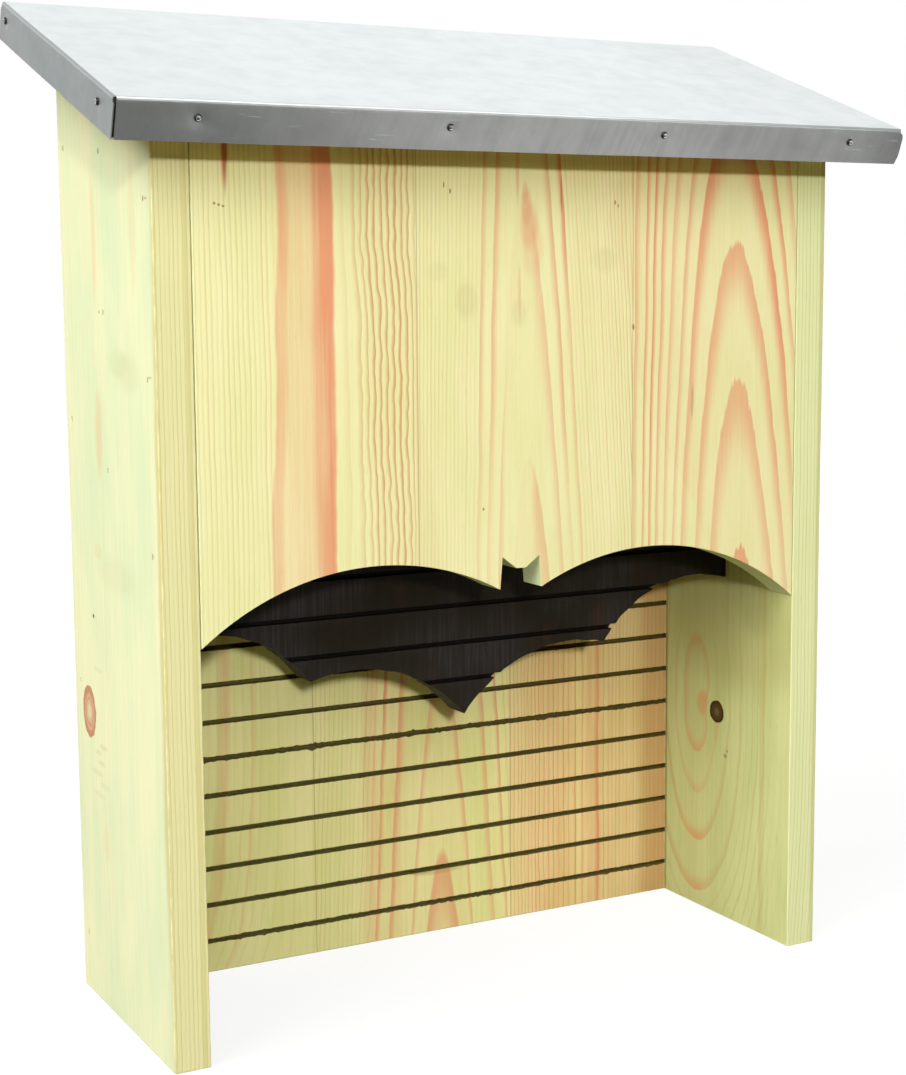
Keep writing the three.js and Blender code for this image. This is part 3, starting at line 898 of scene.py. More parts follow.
@dataclass(frozen=True)
class Pine:
    """Planed, pressure-treated pine with the figure of one board."""

    name: str
    figure: Figure
    palette: Palette
    face: Side
    lowest: Triple
    highest: Triple
    contrast: float = 1.0

    def places(self, graph: Graph) -> tuple[Signal, Signal, Signal, Signal]:
        """Give the board's place in millimetres, turned so that z runs along the grain.

        Args:
            graph: The tree to work in.

        Returns:
            The place as a vector, and across, through and along the board.
        """
        if self.face is Side.ACROSS_SLOPE:
            x, y, z = graph.axes(graph.millimetres(Rotation=(-ROOF_PITCH, 0.0, 0.0)))
            across, through, along = y + ROOF_GRAIN_SHIFT, z, x + GRAIN_REFERENCE
            return graph.joined(across, through, along), across, through, along
        place = graph.millimetres(Location=(0.0, -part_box("left_side")[0].y / MM, 0.0))
        x, y, z = graph.axes(place)
        if self.face is Side.ACROSS_Y:
            return graph.joined(y, x, z), y, x, z
        return place, x, y, z

    def flowed(self, graph: Graph, effects: Effects, across: Signal, along: Signal) -> Signal:
        """Bend the lines of growth: soft waves, the figure's own bends and the flow round knots.

        Args:
            graph: The tree to work in.
            effects: The shared groups.
            across: Millimetres across the board.
            along: Millimetres along the board.

        Returns:
            The place across the board that the rings are counted at.
        """
        figure = self.figure
        wave = graph.swing(graph.joined(across / 26.0, 0.0, along / 75.0)) * (2.2 * figure.waviness)
        ripple = graph.swing(graph.joined(across / 7.0, 3.0, along / 11.0), detail=1.0)
        ripple = ripple * (0.6 * figure.waviness) * graph.curve(across, figure.ripple)
        bend = graph.curve(along, figure.bend) * graph.curve(across, figure.bend_zone)
        flowed = across + wave + ripple - bend
        for knot in figure.knots:
            oval = self.oval(graph, effects, across, along, knot)["Distance"]
            near = graph.math("EXPONENT", oval * oval * -0.5)
            flowed = flowed - (flowed - knot.across) * near * 0.92
        return flowed

    def oval(
        self, graph: Graph, effects: Effects, across: Signal, along: Signal, mark: Mark | Knot
    ) -> dict[str, Signal]:
        """Place the shared oval over a mark or knot."""
        return graph.use(
            effects.spot,
            Across=across,
            Along=along,
            Centre_Across=mark.across,
            Centre_Along=mark.along,
            Half_Width=mark.half_width,
            Half_Height=mark.half_height,
        )

    def counted(self, graph: Graph, flowed: Signal, through: Signal, along: Signal) -> Signal:
        """Count the rings over all staves of the board.

        Args:
            graph: The tree to work in.
            flowed: The bent place across the board.
            through: Millimetres through the board.
            along: Millimetres along the board.

        Returns:
            The ring number, with a jump from stave to stave.
        """
        figure = self.figure
        inward = flowed + (through - figure.face) * RING_DRIFT
        ragged = along
        if figure.fray:
            torn = graph.swing(graph.joined(flowed / 1.6, 0.0, along / 60.0), detail=1.0)
            ragged = along + torn * figure.fray
        phase = figure.staves[0].phase(graph, inward, ragged)
        for index, stave in enumerate(figure.staves[1:], start=1):
            own = stave.phase(graph, inward, ragged) + STAVE_RINGS * index
            inside = graph.math("GREATER_THAN", flowed, stave.start)
            phase = phase + (own - phase) * inside
        if figure.edge_pitch:
            phase = phase + (through - figure.face) / figure.edge_pitch
        return phase

    def material(self, effects: Effects) -> bpy.types.Material:
        """Make the board's material.

        Args:
            effects: The shared groups.

        Returns:
            The material.
        """
        figure = self.figure
        colours = self.palette
        material, graph, shader = blank_material(self.name)
        place, across, through, along = self.places(graph)
        flowed = self.flowed(graph, effects, across, along)
        phase = self.counted(graph, flowed, through, along)
        rings = graph.use(effects.rings, Phase=phase, Onset=figure.onset)
        grain = graph.use(effects.fibre, Vector=place)
        edge = graph.face_mask("edge")
        power = graph.curve(flowed, figure.strength) * graph.curve(along, figure.fade)
        power = graph.lerp(edge, power, figure.edge_strength)
        chance = rings["Chance"] * 0.9 + 0.55
        late = (rings["Late Wood"] * power * chance).clamped()
        tint = self.tinted(graph, flowed, along)
        tint = graph.lerp(edge, tint, graph.curve(through, figure.edge_tint))
        tint = tint * (grain["Streak"] * 0.35 + grain["Cloud"] * 0.2 + 1.0)
        amount = ((late * (tint * -0.7 + 1.0) + tint + grain["Streak"] * 0.1) * self.contrast).clamped()
        greener = graph.step(grain["Cloud"] + grain["Streak"] * 0.5, -0.6, 0.7)
        ground = graph.mix(greener, colours.pale, colours.green)
        ground = graph.mix(edge * 0.8, ground, colours.edge)
        warm = (edge.flipped() * graph.curve(flowed, figure.warmth)).clamped()
        colour = graph.mix(amount, ground, graph.mix(warm, colours.olive, colours.late))
        shade = grain["Fine"] * 0.05 + grain["Streak"] * 0.04 + 1.0 - grain["Fleck"] * (0.1 * self.contrast)
        # The figure's shade curve is painted shade; the fibre and fleck terms are the wood's own.
        shade = shade * graph.curve(across, figure.shade)
        colour = graph.shaded(colour, shade)
        face = edge.flipped()
        for mark in figure.marks:
            mask = self.oval(graph, effects, flowed, along, mark)["Mask"]
            colour = graph.mix(mask * face * mark.strength, colour, getattr(colours, mark.tone.value))
        for knot in figure.knots:
            colour = graph.mix(edge, self.knotted(graph, effects, colour, across, along, knot), colour)
        for stave in figure.staves[1:]:
            gap = graph.math("ABSOLUTE", across - stave.start)
            colour = graph.mix(graph.step(gap, 0.35, 0.1) * 0.4, colour, colours.resin)
        colour, relief = self.finished(graph, effects, colour, place, late, grain)
        graph.feed(shader.inputs["Base Color"], colour)
        graph.feed(shader.inputs["Roughness"], grain["Fine"] * 0.06 + 0.7 - late * 0.08)
        shader.inputs["Specular IOR Level"].default_value = 0.08
        graph.bump(shader, 0.45, 0.22 * MM, relief)
        return material

    def tinted(self, graph: Graph, flowed: Signal, along: Signal) -> Signal | float:
        """Read the broad salmon stripes across the board.

        Args:
            graph: The tree to work in.
            flowed: The bent place across the board.
            along: Millimetres along the board.

        Returns:
            The share of the late wood's colour.
        """
        figure = self.figure
        shift = graph.curve(flowed, figure.tint_zone) * graph.curve(along, figure.tint_bend)
        wander = graph.swing(graph.joined(flowed / 90.0, 5.0, along / 24.0)) * 1.4
        return graph.curve(flowed + shift + wander, figure.tint) * graph.curve(along, figure.tint_fade)

    def knotted(
        self, graph: Graph, effects: Effects, colour: Signal, across: Signal, along: Signal, knot: Knot
    ) -> Signal:
        """Colour a knot: a dark rim, fine rings inside and a paler heart.

        Args:
            graph: The tree to work in.
            effects: The shared groups.
            colour: The colour so far.
            across: Millimetres across the board.
            along: Millimetres along the board.
            knot: The knot.

        Returns:
            The colour with the knot.
        """
        place = graph.joined(across, along, 0.0)
        oval = self.oval(graph, effects, across, along, knot)["Distance"] + graph.swing(place, 0.2) * 0.12
        inside = graph.step(oval, 1.08, 0.98)
        rim = graph.step(oval, 0.62, 0.95) * inside
        lines = graph.math("SINE", oval * 26.0) * 0.5 + 0.5
        wood = graph.mix(lines * (1.0 - knot.dark) * 0.6 + knot.dark, self.palette.late, self.palette.resin)
        heart = graph.step(oval, 0.5, 0.2) * (1.0 - 0.95 * knot.dark)
        colour = graph.mix(inside * heart.flipped() * (0.85 * knot.strength), colour, wood)
        return graph.mix(rim * (0.6 * knot.strength), colour, self.palette.resin)

    def finished(
        self,
        graph: Graph,
        effects: Effects,
        colour: Signal,
        place: Signal,
        late: Signal,
        grain: dict[str, Signal],
    ) -> tuple[Signal, Signal]:
        """Add sawn faces, painted shade on kerf faces and worn arrises.

        Args:
            graph: The tree to work in.
            effects: The shared groups.
            colour: The colour so far.
            place: The board's place in millimetres.
            late: The mask of late wood.
            grain: Outputs of the fibre group.

        Returns:
            The finished colour and the height for the bump.
        """
        sawn = graph.face_mask("sawn")
        saw = graph.use(effects.saw, Vector=place)
        rough = graph.mix(graph.step(saw["Relief"], -0.2, 1.2) * 0.25, self.palette.sawn, self.palette.olive)
        rough = graph.mix(saw["Chip"] * 0.6, rough, self.palette.pale)
        colour = graph.mix(sawn * 0.75, colour, rough)
        # Faces in kerfs, behind a joint or on the roof board's rim take the kerf colour as painted shade.
        kerf = graph.face_mask("kerf")
        cover = (kerf * (saw["Relief"] * 0.12 + self.palette.kerf_cover)).clamped()
        colour = graph.mix(cover, colour, self.palette.kerf)
        ends = list(zip(self.lowest, self.highest))
        local = graph.millimetres(Location=tuple(-(low + high) / 2 / MM for low, high in ends))
        half = [(high - low) / 2 / MM for low, high in ends]
        sizes = {"Half_X": half[0], "Half_Y": half[1], "Half_Z": half[2]}
        worn = graph.use(effects.wear, Vector=local, Width=1.3, **sizes)["Mask"]
        colour = graph.mix(worn * 0.5, colour, self.palette.sawn)
        relief = grain["Fine"] * 0.35 + late * 0.5 + saw["Relief"] * sawn * 3.0 + grain["Streak"] * 0.25
        return colour, relief


def blank_material(name: str) -> tuple[bpy.types.Material, Graph, bpy.types.Node]:
    """Make a material with a Principled shader and nothing else.

    Args:
        name: The material's name.

    Returns:
        The material, its graph and the shader node.
    """
    material = bpy.data.materials.new(name)
    material.use_nodes = True
    tree = material.node_tree
    return material, Graph(tree), tree.nodes["Principled BSDF"]


@dataclass(frozen=True)
class StainedPine:
    """Dark brown stain over sawn pine, with the grain just showing."""

    name: str = "dark_stain"
    stain: Colour = paint(33, 27, 19)
    worn: Colour = paint(66, 44, 30)
    deep: Colour = paint(22, 17, 12)
    scuffed: Colour = paint(62, 60, 62)
    painted_kerf_shade: Colour = paint(10, 8, 5)

    def material(self, effects: Effects) -> bpy.types.Material:
        """Make the material.

        Args:
            effects: The shared groups.

        Returns:
            The material.
        """
        material, graph, shader = blank_material(self.name)
        place = graph.millimetres()
        across, _, along = graph.axes(place)
        wave = graph.swing(graph.joined(across / 30.0, 0.0, along / 90.0)) * 3.0
        rings = graph.use(effects.rings, Phase=(across + wave) / 7.0, Onset=0.1)
        grain = graph.use(effects.fibre, Vector=place)
        saw = graph.use(effects.saw, Vector=place)
        colour = graph.mix(rings["Late Wood"] * rings["Chance"] * 0.4, self.stain, self.deep)
        patch = graph.step(grain["Cloud"] + grain["Streak"] * 0.4, 0.1, 0.8)
        colour = graph.mix(patch * 0.3, colour, self.worn)
        cool = graph.step(graph.swing(graph.scaled(place, (0.014, 0.014, 0.02))), -0.2, 0.3)
        streak = graph.step(graph.swing(graph.scaled(place, (0.7, 0.7, 0.025)), detail=2.0), -0.3, 0.6)
        colour = graph.mix(cool * (streak * 0.5 + 0.2), colour, self.scuffed)
        red = graph.step(graph.swing(graph.scaled(place, (0.05, 0.05, 0.03)), detail=2.0), 0.1, 0.5)
        colour = graph.mix(red * 0.35, colour, self.worn)
        sawn = graph.face_mask("sawn")
        colour = graph.mix(sawn * graph.step(saw["Relief"], -0.2, 0.7) * 0.4, colour, self.worn)
        # The kerf faces take painted shade.
        colour = graph.mix(graph.face_mask("kerf") * 0.85, colour, self.painted_kerf_shade)
        graph.feed(shader.inputs["Base Color"], colour)
        graph.feed(shader.inputs["Roughness"], grain["Fine"] * 0.08 + 0.62)
        shader.inputs["Specular IOR Level"].default_value = 0.15
        relief = grain["Fine"] * 0.5 + rings["Late Wood"] * 0.2 + saw["Relief"] * sawn * 2.0
        graph.bump(shader, 0.5, 0.3 * MM, relief)
        return material


@dataclass(frozen=True)
class GalvanisedSheet:
    """Thin zinc-coated sheet, pale grey with soft mottling, hairline scratches and scuffs."""

    # The sheet's folds take a painted highlight and a painted dark line, and its top and skirt painted
    # reflection levels.
    name: str = "galvanised_sheet"
    zinc: Colour = paint(243, 250, 249)
    dull: Colour = paint(228, 235, 235)
    scratched: Colour = paint(176, 182, 186)
    # The next colour is a painted dark line along the folds.
    painted_fold_shade: Colour = paint(104, 108, 108)
    streak_level: Points = ((-215, 0.3), (-60, 0.5), (40, 1.0), (215, 0.5))
    # Strength of the front fold's painted highlight across the roof.
    fold_highlight_level: Points = ((-200, 1.0), (20, 1.0), (90, 0.3), (200, 0.0))
    # Painted reflection levels across the top and the skirt.
    top_painted_reflection: Points = ((-215, 0.87), (-120, 0.91), (0, 0.92), (110, 0.92), (160, 0.87), (215, 0.85))
    skirt_painted_reflection: Points = (
        (-215, 0.86), (-150, 0.9), (-80, 1.08), (60, 1.08), (150, 1.0), (190, 0.94), (208, 0.72),
    )

    def material(self) -> bpy.types.Material:
        """Make the material.

        Returns:
            The material.
        """
        material, graph, shader = blank_material(self.name)
        place = graph.millimetres(Rotation=(-ROOF_PITCH, 0.0, 0.0))
        mottle = graph.noise(place, 0.06, 4.0, 0.6)
        cloud = graph.noise(place, 0.015, 3.0)
        hair = graph.noise(graph.scaled(place, (0.05, 1.6, 1.6)), 1.0, 2.0)
        scratch = graph.step(hair, 0.68, 0.74) * graph.step(cloud, 0.45, 0.6)
        spangle = graph.node("ShaderNodeTexVoronoi", {"feature": "F1"}, out="Color", Vector=place, Scale=0.16)
        grade, _, _ = graph.axes(spangle)
        amount = graph.step(mottle, 0.35, 0.7) * 0.5 + grade * 0.2 + graph.step(cloud, 0.4, 0.7) * 0.3
        colour = graph.mix(amount.clamped(), self.zinc, self.dull)
        colour = graph.mix(scratch * 0.35, colour, self.scratched)
        lean = graph.node("ShaderNodeMapping", Vector=place, Rotation=(0.0, math.radians(-16), 0.0))
        run = graph.swing(graph.scaled(lean, (0.16, 0.02, 0.02)), detail=3.0)
        fine_run = graph.swing(graph.scaled(lean, (0.7, 0.02, 0.05)), detail=2.0)
        across, _, _ = graph.axes(place)
        clear = graph.curve(across, self.streak_level)
        drawn = (run * 0.7 + fine_run * 0.4) * clear
        skirt = graph.face_mask("skirt")
        stain = graph.swing(graph.scaled(place, (0.09, 0.09, 0.09)), detail=3.0)
        # The skirt's streaks and stains are its own, and it is a little darker than the top; the levels
        # across top and skirt are painted reflection.
        shade = (drawn * 0.26 + stain * 0.1) * skirt + 1.0 - skirt * 0.05
        top_painted_reflection = graph.curve(across, self.top_painted_reflection)
        shade = shade * graph.lerp(skirt, top_painted_reflection, graph.curve(across, self.skirt_painted_reflection))
        colour = graph.shaded(colour, shade)
        # The front fold's white line is a painted highlight, fading to the right; the other folds and the
        # fading part take a painted dark line.
        fold = graph.face_mask("fold")
        fold_highlight = graph.step(fold, 0.6, 0.9) * graph.curve(across, self.fold_highlight_level)
        colour = graph.mix(fold_highlight, colour, WHITE)
        colour = graph.mix(graph.step(fold, 0.1, 0.4) * fold_highlight.flipped() * 0.65, colour, self.painted_fold_shade)
        graph.feed(shader.inputs["Base Color"], colour)
        shader.inputs["Metallic"].default_value = 0.92
        graph.feed(shader.inputs["Roughness"], mottle * 0.16 + 0.24 + scratch * 0.15)
        flat = graph.step(fold, 0.3, 0.1)
        relief = (mottle * 0.6 + scratch * -0.4 + cloud * 1.5) * flat
        relief = relief + drawn * skirt * 0.6 + stain * skirt * 0.8
        graph.bump(shader, 0.25, 0.4 * MM, relief)
        return material


@dataclass(frozen=True)
class NailSteel:
    """Steel of the nail and brad heads, with fine hammer marks."""

    name: str
    steel: Colour
    tarnish: Colour
    roughness: float
    painted_rim_shade: Colour = paint(44, 42, 40)

    def material(self) -> bpy.types.Material:
        """Make the material."""
        material, graph, shader = blank_material(self.name)
        place = graph.millimetres()
        patch = graph.noise(place, 0.9, 3.0)
        colour = graph.mix(graph.step(patch, 0.4, 0.7), self.steel, self.tarnish)
        # The outer ring of the skirt nails' domes is darkened: painted dark reflection.
        colour = graph.mix(graph.face_mask("rim"), colour, self.painted_rim_shade)
        graph.feed(shader.inputs["Base Color"], colour)
        shader.inputs["Metallic"].default_value = 1.0
        graph.feed(shader.inputs["Roughness"], patch * 0.15 + self.roughness)
        graph.bump(shader, 0.3, 0.1 * MM, patch)
        return material


def merged_copy(node: str) -> bmesh.types.BMesh:
    """Copy a CAD node's mesh, with its doubles merged and its flat faces whole.

    Args:
        node: The node's name.

    Returns:
        The merged form.
    """
    form = bmesh.new()
    form.from_mesh(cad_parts[node].data)
    bmesh.ops.remove_doubles(form, verts=form.verts, dist=MERGE_DISTANCE)
    bmesh.ops.dissolve_limit(form, angle_limit=FLAT_ANGLE, verts=form.verts, edges=form.edges)
    for edge in form.edges:
        edge.smooth = True
    return form


def sliced(form: bmesh.types.BMesh, axis: Vector, places: Iterable[float]) -> None:
    """Cut a form along planes, without taking anything away.

    Args:
        form: The form.
        axis: The planes' common normal.
        places: Distance of each plane along the axis.
    """
    for place in places:
        geometry = [*form.verts, *form.edges, *form.faces]
        bmesh.ops.bisect_plane(form, geom=geometry, dist=CUT_SNAP, plane_co=axis * place, plane_no=axis)


def steps(low: float, high: float, pitch: float) -> list[float]:
    """Evenly spread places strictly between two ends, about a pitch apart."""
    count = max(1, round((high - low) / pitch))
    return [low + (high - low) * index / count for index in range(1, count)]


def placed(form: bmesh.types.BMesh, name: str, material: bpy.types.Material) -> bpy.types.Object:
    """Turn a form into an object of the scene.

    Args:
        form: The form, which is used up.
        name: The object's name.
        material: Its material.

    Returns:
        The object.
    """
    mesh = bpy.data.meshes.new(name)
    form.to_mesh(mesh)
    form.free()
    if OLD_NORMALS in mesh.attributes:
        mesh.attributes.remove(mesh.attributes[OLD_NORMALS])
    mesh.materials.append(material)
    item = bpy.data.objects.new(name, mesh)
    bpy.context.scene.collection.objects.link(item)
    return item


def set_piece(
    form: bmesh.types.BMesh, name: str, nodes: Iterable[str], material: bpy.types.Material
) -> bpy.types.Object:
    """Turn a form into a piece that stands for CAD nodes.

    Args:
        form: The form, in the row's frame.
        name: The piece's name.
        nodes: The CAD nodes that it replaces.
        material: Its material.

    Returns:
        The piece.
    """
    for face in form.faces:
        face.smooth = True
    for edge in form.edges:
        if len(edge.link_faces) == 2 and edge.calc_face_angle(0.0) > SMOOTH_ANGLE:
            edge.smooth = False
    piece = placed(form, name, material)
    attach(piece, ROOT)
    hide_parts(*nodes)
    LOG.info("%s: %d faces", name, len(piece.data.polygons))
    return piece


def dress_node(node: str, material: bpy.types.Material) -> None:
    """Give a CAD node a material of its own.

    Args:
        node: The node's name.
        material: The material.
    """
    mesh_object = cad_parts[node]
    for holder in mesh_object.material_slots:
        holder.material = material
    LOG.info("%s: CAD solid with %s", node, material.name)


def slope_axes() -> tuple[Vector, Vector]:
    """Give the way up the roof and the way out of its top."""
    run, climb = math.cos(ROOF_PITCH), math.sin(ROOF_PITCH)
    return Vector((0, run, climb)), Vector((0, -climb, run))


@dataclass
class Board:
    """A board: its CAD solid with eased arrises, sawn faces marked and ragged kerfs.

    The kerf face is where the kerfs start, and the joint where another board's front face meets this one.
    The kerfs, the inner face behind the joint and the roof board's rim take painted shade. The spread closes
    the solid's clearance on both sides.
    """

    node: str
    piece: str
    slot: Slot
    arris: float = 0.4 * MM
    kerf_face: float | None = None
    lowest_kerf: float = 0.0
    raggedness: float = 0.5 * MM
    torn_rows: tuple[int, ...] = ()
    lip: float = 0.0
    spread: float = 0.0
    joint: float | None = None
    sawn_below: float = 0.0
    edged: bool = False
    dark_rim: bool = False
    wobble: float = 0.0
    corners: tuple[Vector, Vector] = field(init=False)

    def __post_init__(self) -> None:
        """Read the board's box from the frame."""
        self.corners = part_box(self.node)

    def on_outside(self, point: Vector) -> int:
        """Count on how many sides of the board's box a point lies."""
        low, high = self.corners
        count = 0
        for axis in range(3):
            count += min(abs(point[axis] - low[axis]), abs(point[axis] - high[axis])) < ON_FACE
        return count

    def eased(self, form: bmesh.types.BMesh) -> None:
        """Bevel the long outer arrises of the board.

        Args:
            form: The board's form.
        """
        arrises = []
        for edge in form.edges:
            if len(edge.link_faces) != 2 or edge.calc_length() < SHORTEST_ARRIS:
                continue
            if edge.calc_face_angle(0.0) < ARRIS_ANGLE:
                continue
            first, second = edge.verts
            middle = (first.co + second.co) / 2
            if self.on_outside(middle) >= 2:
                arrises.append(edge)
        rounded = bmesh.ops.bevel(
            form,
            geom=arrises,
            affect="EDGES",
            offset=self.arris,
            offset_type="OFFSET",
            segments=2,
            profile=0.5,
            material=-1,
            clamp_overlap=True,
        )
        fresh = set(rounded["faces"])
        for edge in form.edges:
            if sum(face in fresh for face in edge.link_faces) == 1:
                edge.smooth = False

    def marked(self, form: bmesh.types.BMesh) -> None:
        """Mark the sawn faces, the faces in painted shade and the edge faces in face attributes.

        Args:
            form: The board's form.
        """
        sawn = form.faces.layers.float.new("sawn")
        kerf = form.faces.layers.float.new("kerf")
        edge = form.faces.layers.float.new("edge")
        for face in form.faces:
            centre = face.calc_center_median()
            facing = face.normal
            sloping = abs(facing.z) > SAWN_LEAN
            cut = centre.z < self.sawn_below and abs(facing.y) < CUT_LEAN
            face[sawn] = float((sloping or cut) and not self.dark_rim)
            face[edge] = float(self.edged and abs(facing.y) > EDGE_LEAN)
            face[kerf] = self.darkness(centre, facing)

    def darkness(self, centre: Vector, facing: Vector) -> float:
        """Tell how much painted shade a face takes for lying in a kerf, behind a joint or on the roof board's
        rim.

        Args:
            centre: The face's middle.
            facing: The face's normal.

        Returns:
            The share of the kerf's colour, which is painted shade.
        """
        if self.joint is not None:
            inner = abs(facing.x) > INNER_LEAN and facing.x * centre.x < 0
            if not inner or centre.y <= self.joint - JOINT_SHADOW:
                return 0.0
            return 1.0 if centre.y > self.joint else JOINT_SHADE
        if self.kerf_face is None:
            return float(self.dark_rim and abs(facing.z) < RIM_LEAN)
        inside = KERF_START < centre.y - self.kerf_face < KERF_END
        if not inside or abs(facing.x) >= CUT_LEAN or not self.in_kerf(centre.z):
            return 0.0
        return KERF_FLOOR_SHADE if facing.z > FLOOR_LEAN else 1.0

    def in_kerf(self, height: float) -> bool:
        """Tell whether a height in metres lies in one of the kerfs."""
        offset = height / MM - self.lowest_kerf
        offset -= KERF_PITCH * round(offset / KERF_PITCH)
        return abs(offset) < KERF_WIDTH / 2 + KERF_MARGIN

    def wobbled(self, form: bmesh.types.BMesh) -> None:
        """Let the sawn outline wander a little, alike on both faces of the board.

        Args:
            form: The board's form.
        """
        low, high = self.corners
        for vertex in form.verts:
            point = vertex.co
            inside = low.x + WANDER_MARGIN < point.x < high.x - WANDER_MARGIN
            if not inside or point.z > self.sawn_below or self.in_kerf(point.z):
                continue
            seat = Vector((point.x / WANDER_GRAIN, 0.0, point.z / WANDER_GRAIN))
            vertex.co.x += self.wobble * noise.noise(seat)
            vertex.co.z += self.wobble * noise.noise(seat + Vector((40.0, 0.0, 0.0)))

    def ragged(self, form: bmesh.types.BMesh) -> None:
        """Tear the rims of the kerfs a little.

        Args:
            form: The board's form.
        """
        low, high = self.corners
        sliced(form, Vector((1, 0, 0)), steps(low.x, high.x, TEAR_STEP))
        half = KERF_WIDTH / 2
        for vertex in form.verts:
            if abs(vertex.co.y - self.kerf_face) > MERGE_DISTANCE:
                continue
            height = vertex.co.z / MM - self.lowest_kerf
            offset = height - KERF_PITCH * round(height / KERF_PITCH)
            if abs(abs(offset) - half) > KERF_RIM:
                continue
            row = round(height / KERF_PITCH)
            seat = Vector((vertex.co.x / TEAR_GRAIN, row * ROW_SHIFT, offset))
            tear = noise.noise(seat)
            swell = noise.noise(seat * BURST_GRAIN + Vector((31.0, 0.0, 0.0)))
            burst = max(0.0, swell - BURST_START) * BURST_GAIN
            worst = 1.0 if row in self.torn_rows else CALM_ROW
            reach = self.raggedness * worst * (tear * 0.5 + burst * abs(tear))
            if offset > 0:
                vertex.co.z += reach * UPPER_RIM
            else:
                vertex.co.z -= reach + self.lip

    def build(self, material: bpy.types.Material) -> bpy.types.Object:
        """Build the board.

        Args:
            material: The board's material.

        Returns:
            The piece.
        """
        form = merged_copy(self.node)
        self.eased(form)
        low, high = self.corners
        for vertex in form.verts:
            if vertex.co.x < low.x + ON_FACE:
                vertex.co.x -= self.spread
            elif vertex.co.x > high.x - ON_FACE:
                vertex.co.x += self.spread
        if self.joint is not None:
            sliced(form, Vector((0, 1, 0)), (self.joint - JOINT_SHADOW, self.joint))
        if self.wobble:
            self.wobbled(form)
        if self.kerf_face is not None:
            self.ragged(form)
        form.normal_update()
        self.marked(form)
        return set_piece(form, self.piece, [self.node], material)


@dataclass
class Carcass:
    """The five boards under the roof, the roof board and the brads."""

    kerf_lowest_back: float = 17.4
    kerf_lowest_partition: float = 159.0

    def pine(
        self, name: str, node: str, figure: Figure, palette: Palette, face: Side, contrast: float = 1.0
    ) -> Pine:
        """Describe the pine of one board."""
        low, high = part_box(node)
        return Pine(name, figure, palette, face, tuple(low), tuple(high), contrast)

    def build(self, effects: Effects) -> list[bpy.types.Object]:
        """Build the boards and dress the brads.

        Args:
            effects: The shared groups.

        Returns:
            The pieces.
        """
        left = self.pine("pale_pine_left", "left_side", LEFT_FIGURE, SIDE_PALETTE, Side.ACROSS_Y, 0.75)
        right = self.pine("olive_pine_right", "right_side", RIGHT_FIGURE, INNER_SHADE_PALETTE, Side.ACROSS_Y)
        front = self.pine("salmon_pine_front", "front_panel", FRONT_FIGURE, FRONT_PALETTE, Side.ACROSS_X)
        back = self.pine("salmon_pine_back", "back_panel", BACK_FIGURE, BACK_PALETTE, Side.ACROSS_X)
        roof = self.pine("salmon_pine_roof", "roof_board", ROOF_FIGURE, DECK_PALETTE, Side.ACROSS_SLOPE)
        partition_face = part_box("bat_partition")[0].y
        back_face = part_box("back_panel")[0].y
        boards = [
            (
                Board("left_side", "left_board", Slot.SIDE_PINE, edged=True, joint=back_face),
                left.material(effects),
            ),
            (
                Board("right_side", "right_board", Slot.SIDE_PINE, edged=True, joint=back_face),
                right.material(effects),
            ),
            (Board("front_panel", "front_board", Slot.FRONT_PINE, sawn_below=0.236), front.material(effects)),
            (Board("roof_board", "roof_deck", Slot.FRONT_PINE, dark_rim=True), roof.material(effects)),
            (
                Board(
                    "bat_partition",
                    "partition_board",
                    Slot.STAINED_PINE,
                    kerf_face=partition_face,
                    lowest_kerf=self.kerf_lowest_partition,
                    sawn_below=0.215,
                    wobble=0.7 * MM,
                ),
                StainedPine().material(effects),
            ),
            (
                Board(
                    "back_panel",
                    "back_board",
                    Slot.BACK_PINE,
                    kerf_face=back_face,
                    lowest_kerf=self.kerf_lowest_back,
                    raggedness=1.3 * MM,
                    torn_rows=(0, 5),
                    lip=0.3 * MM,
                    spread=0.19 * MM,
                ),
                back.material(effects),
            ),
        ]
        pieces = [board.build(material) for board, material in boards]
        brad = NailSteel("brad_steel", paint(150, 152, 140), paint(98, 96, 84), 0.42).material()
        for node in sorted(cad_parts):
            if "_brad_" in node:
                dress_node(node, brad)
        return pieces


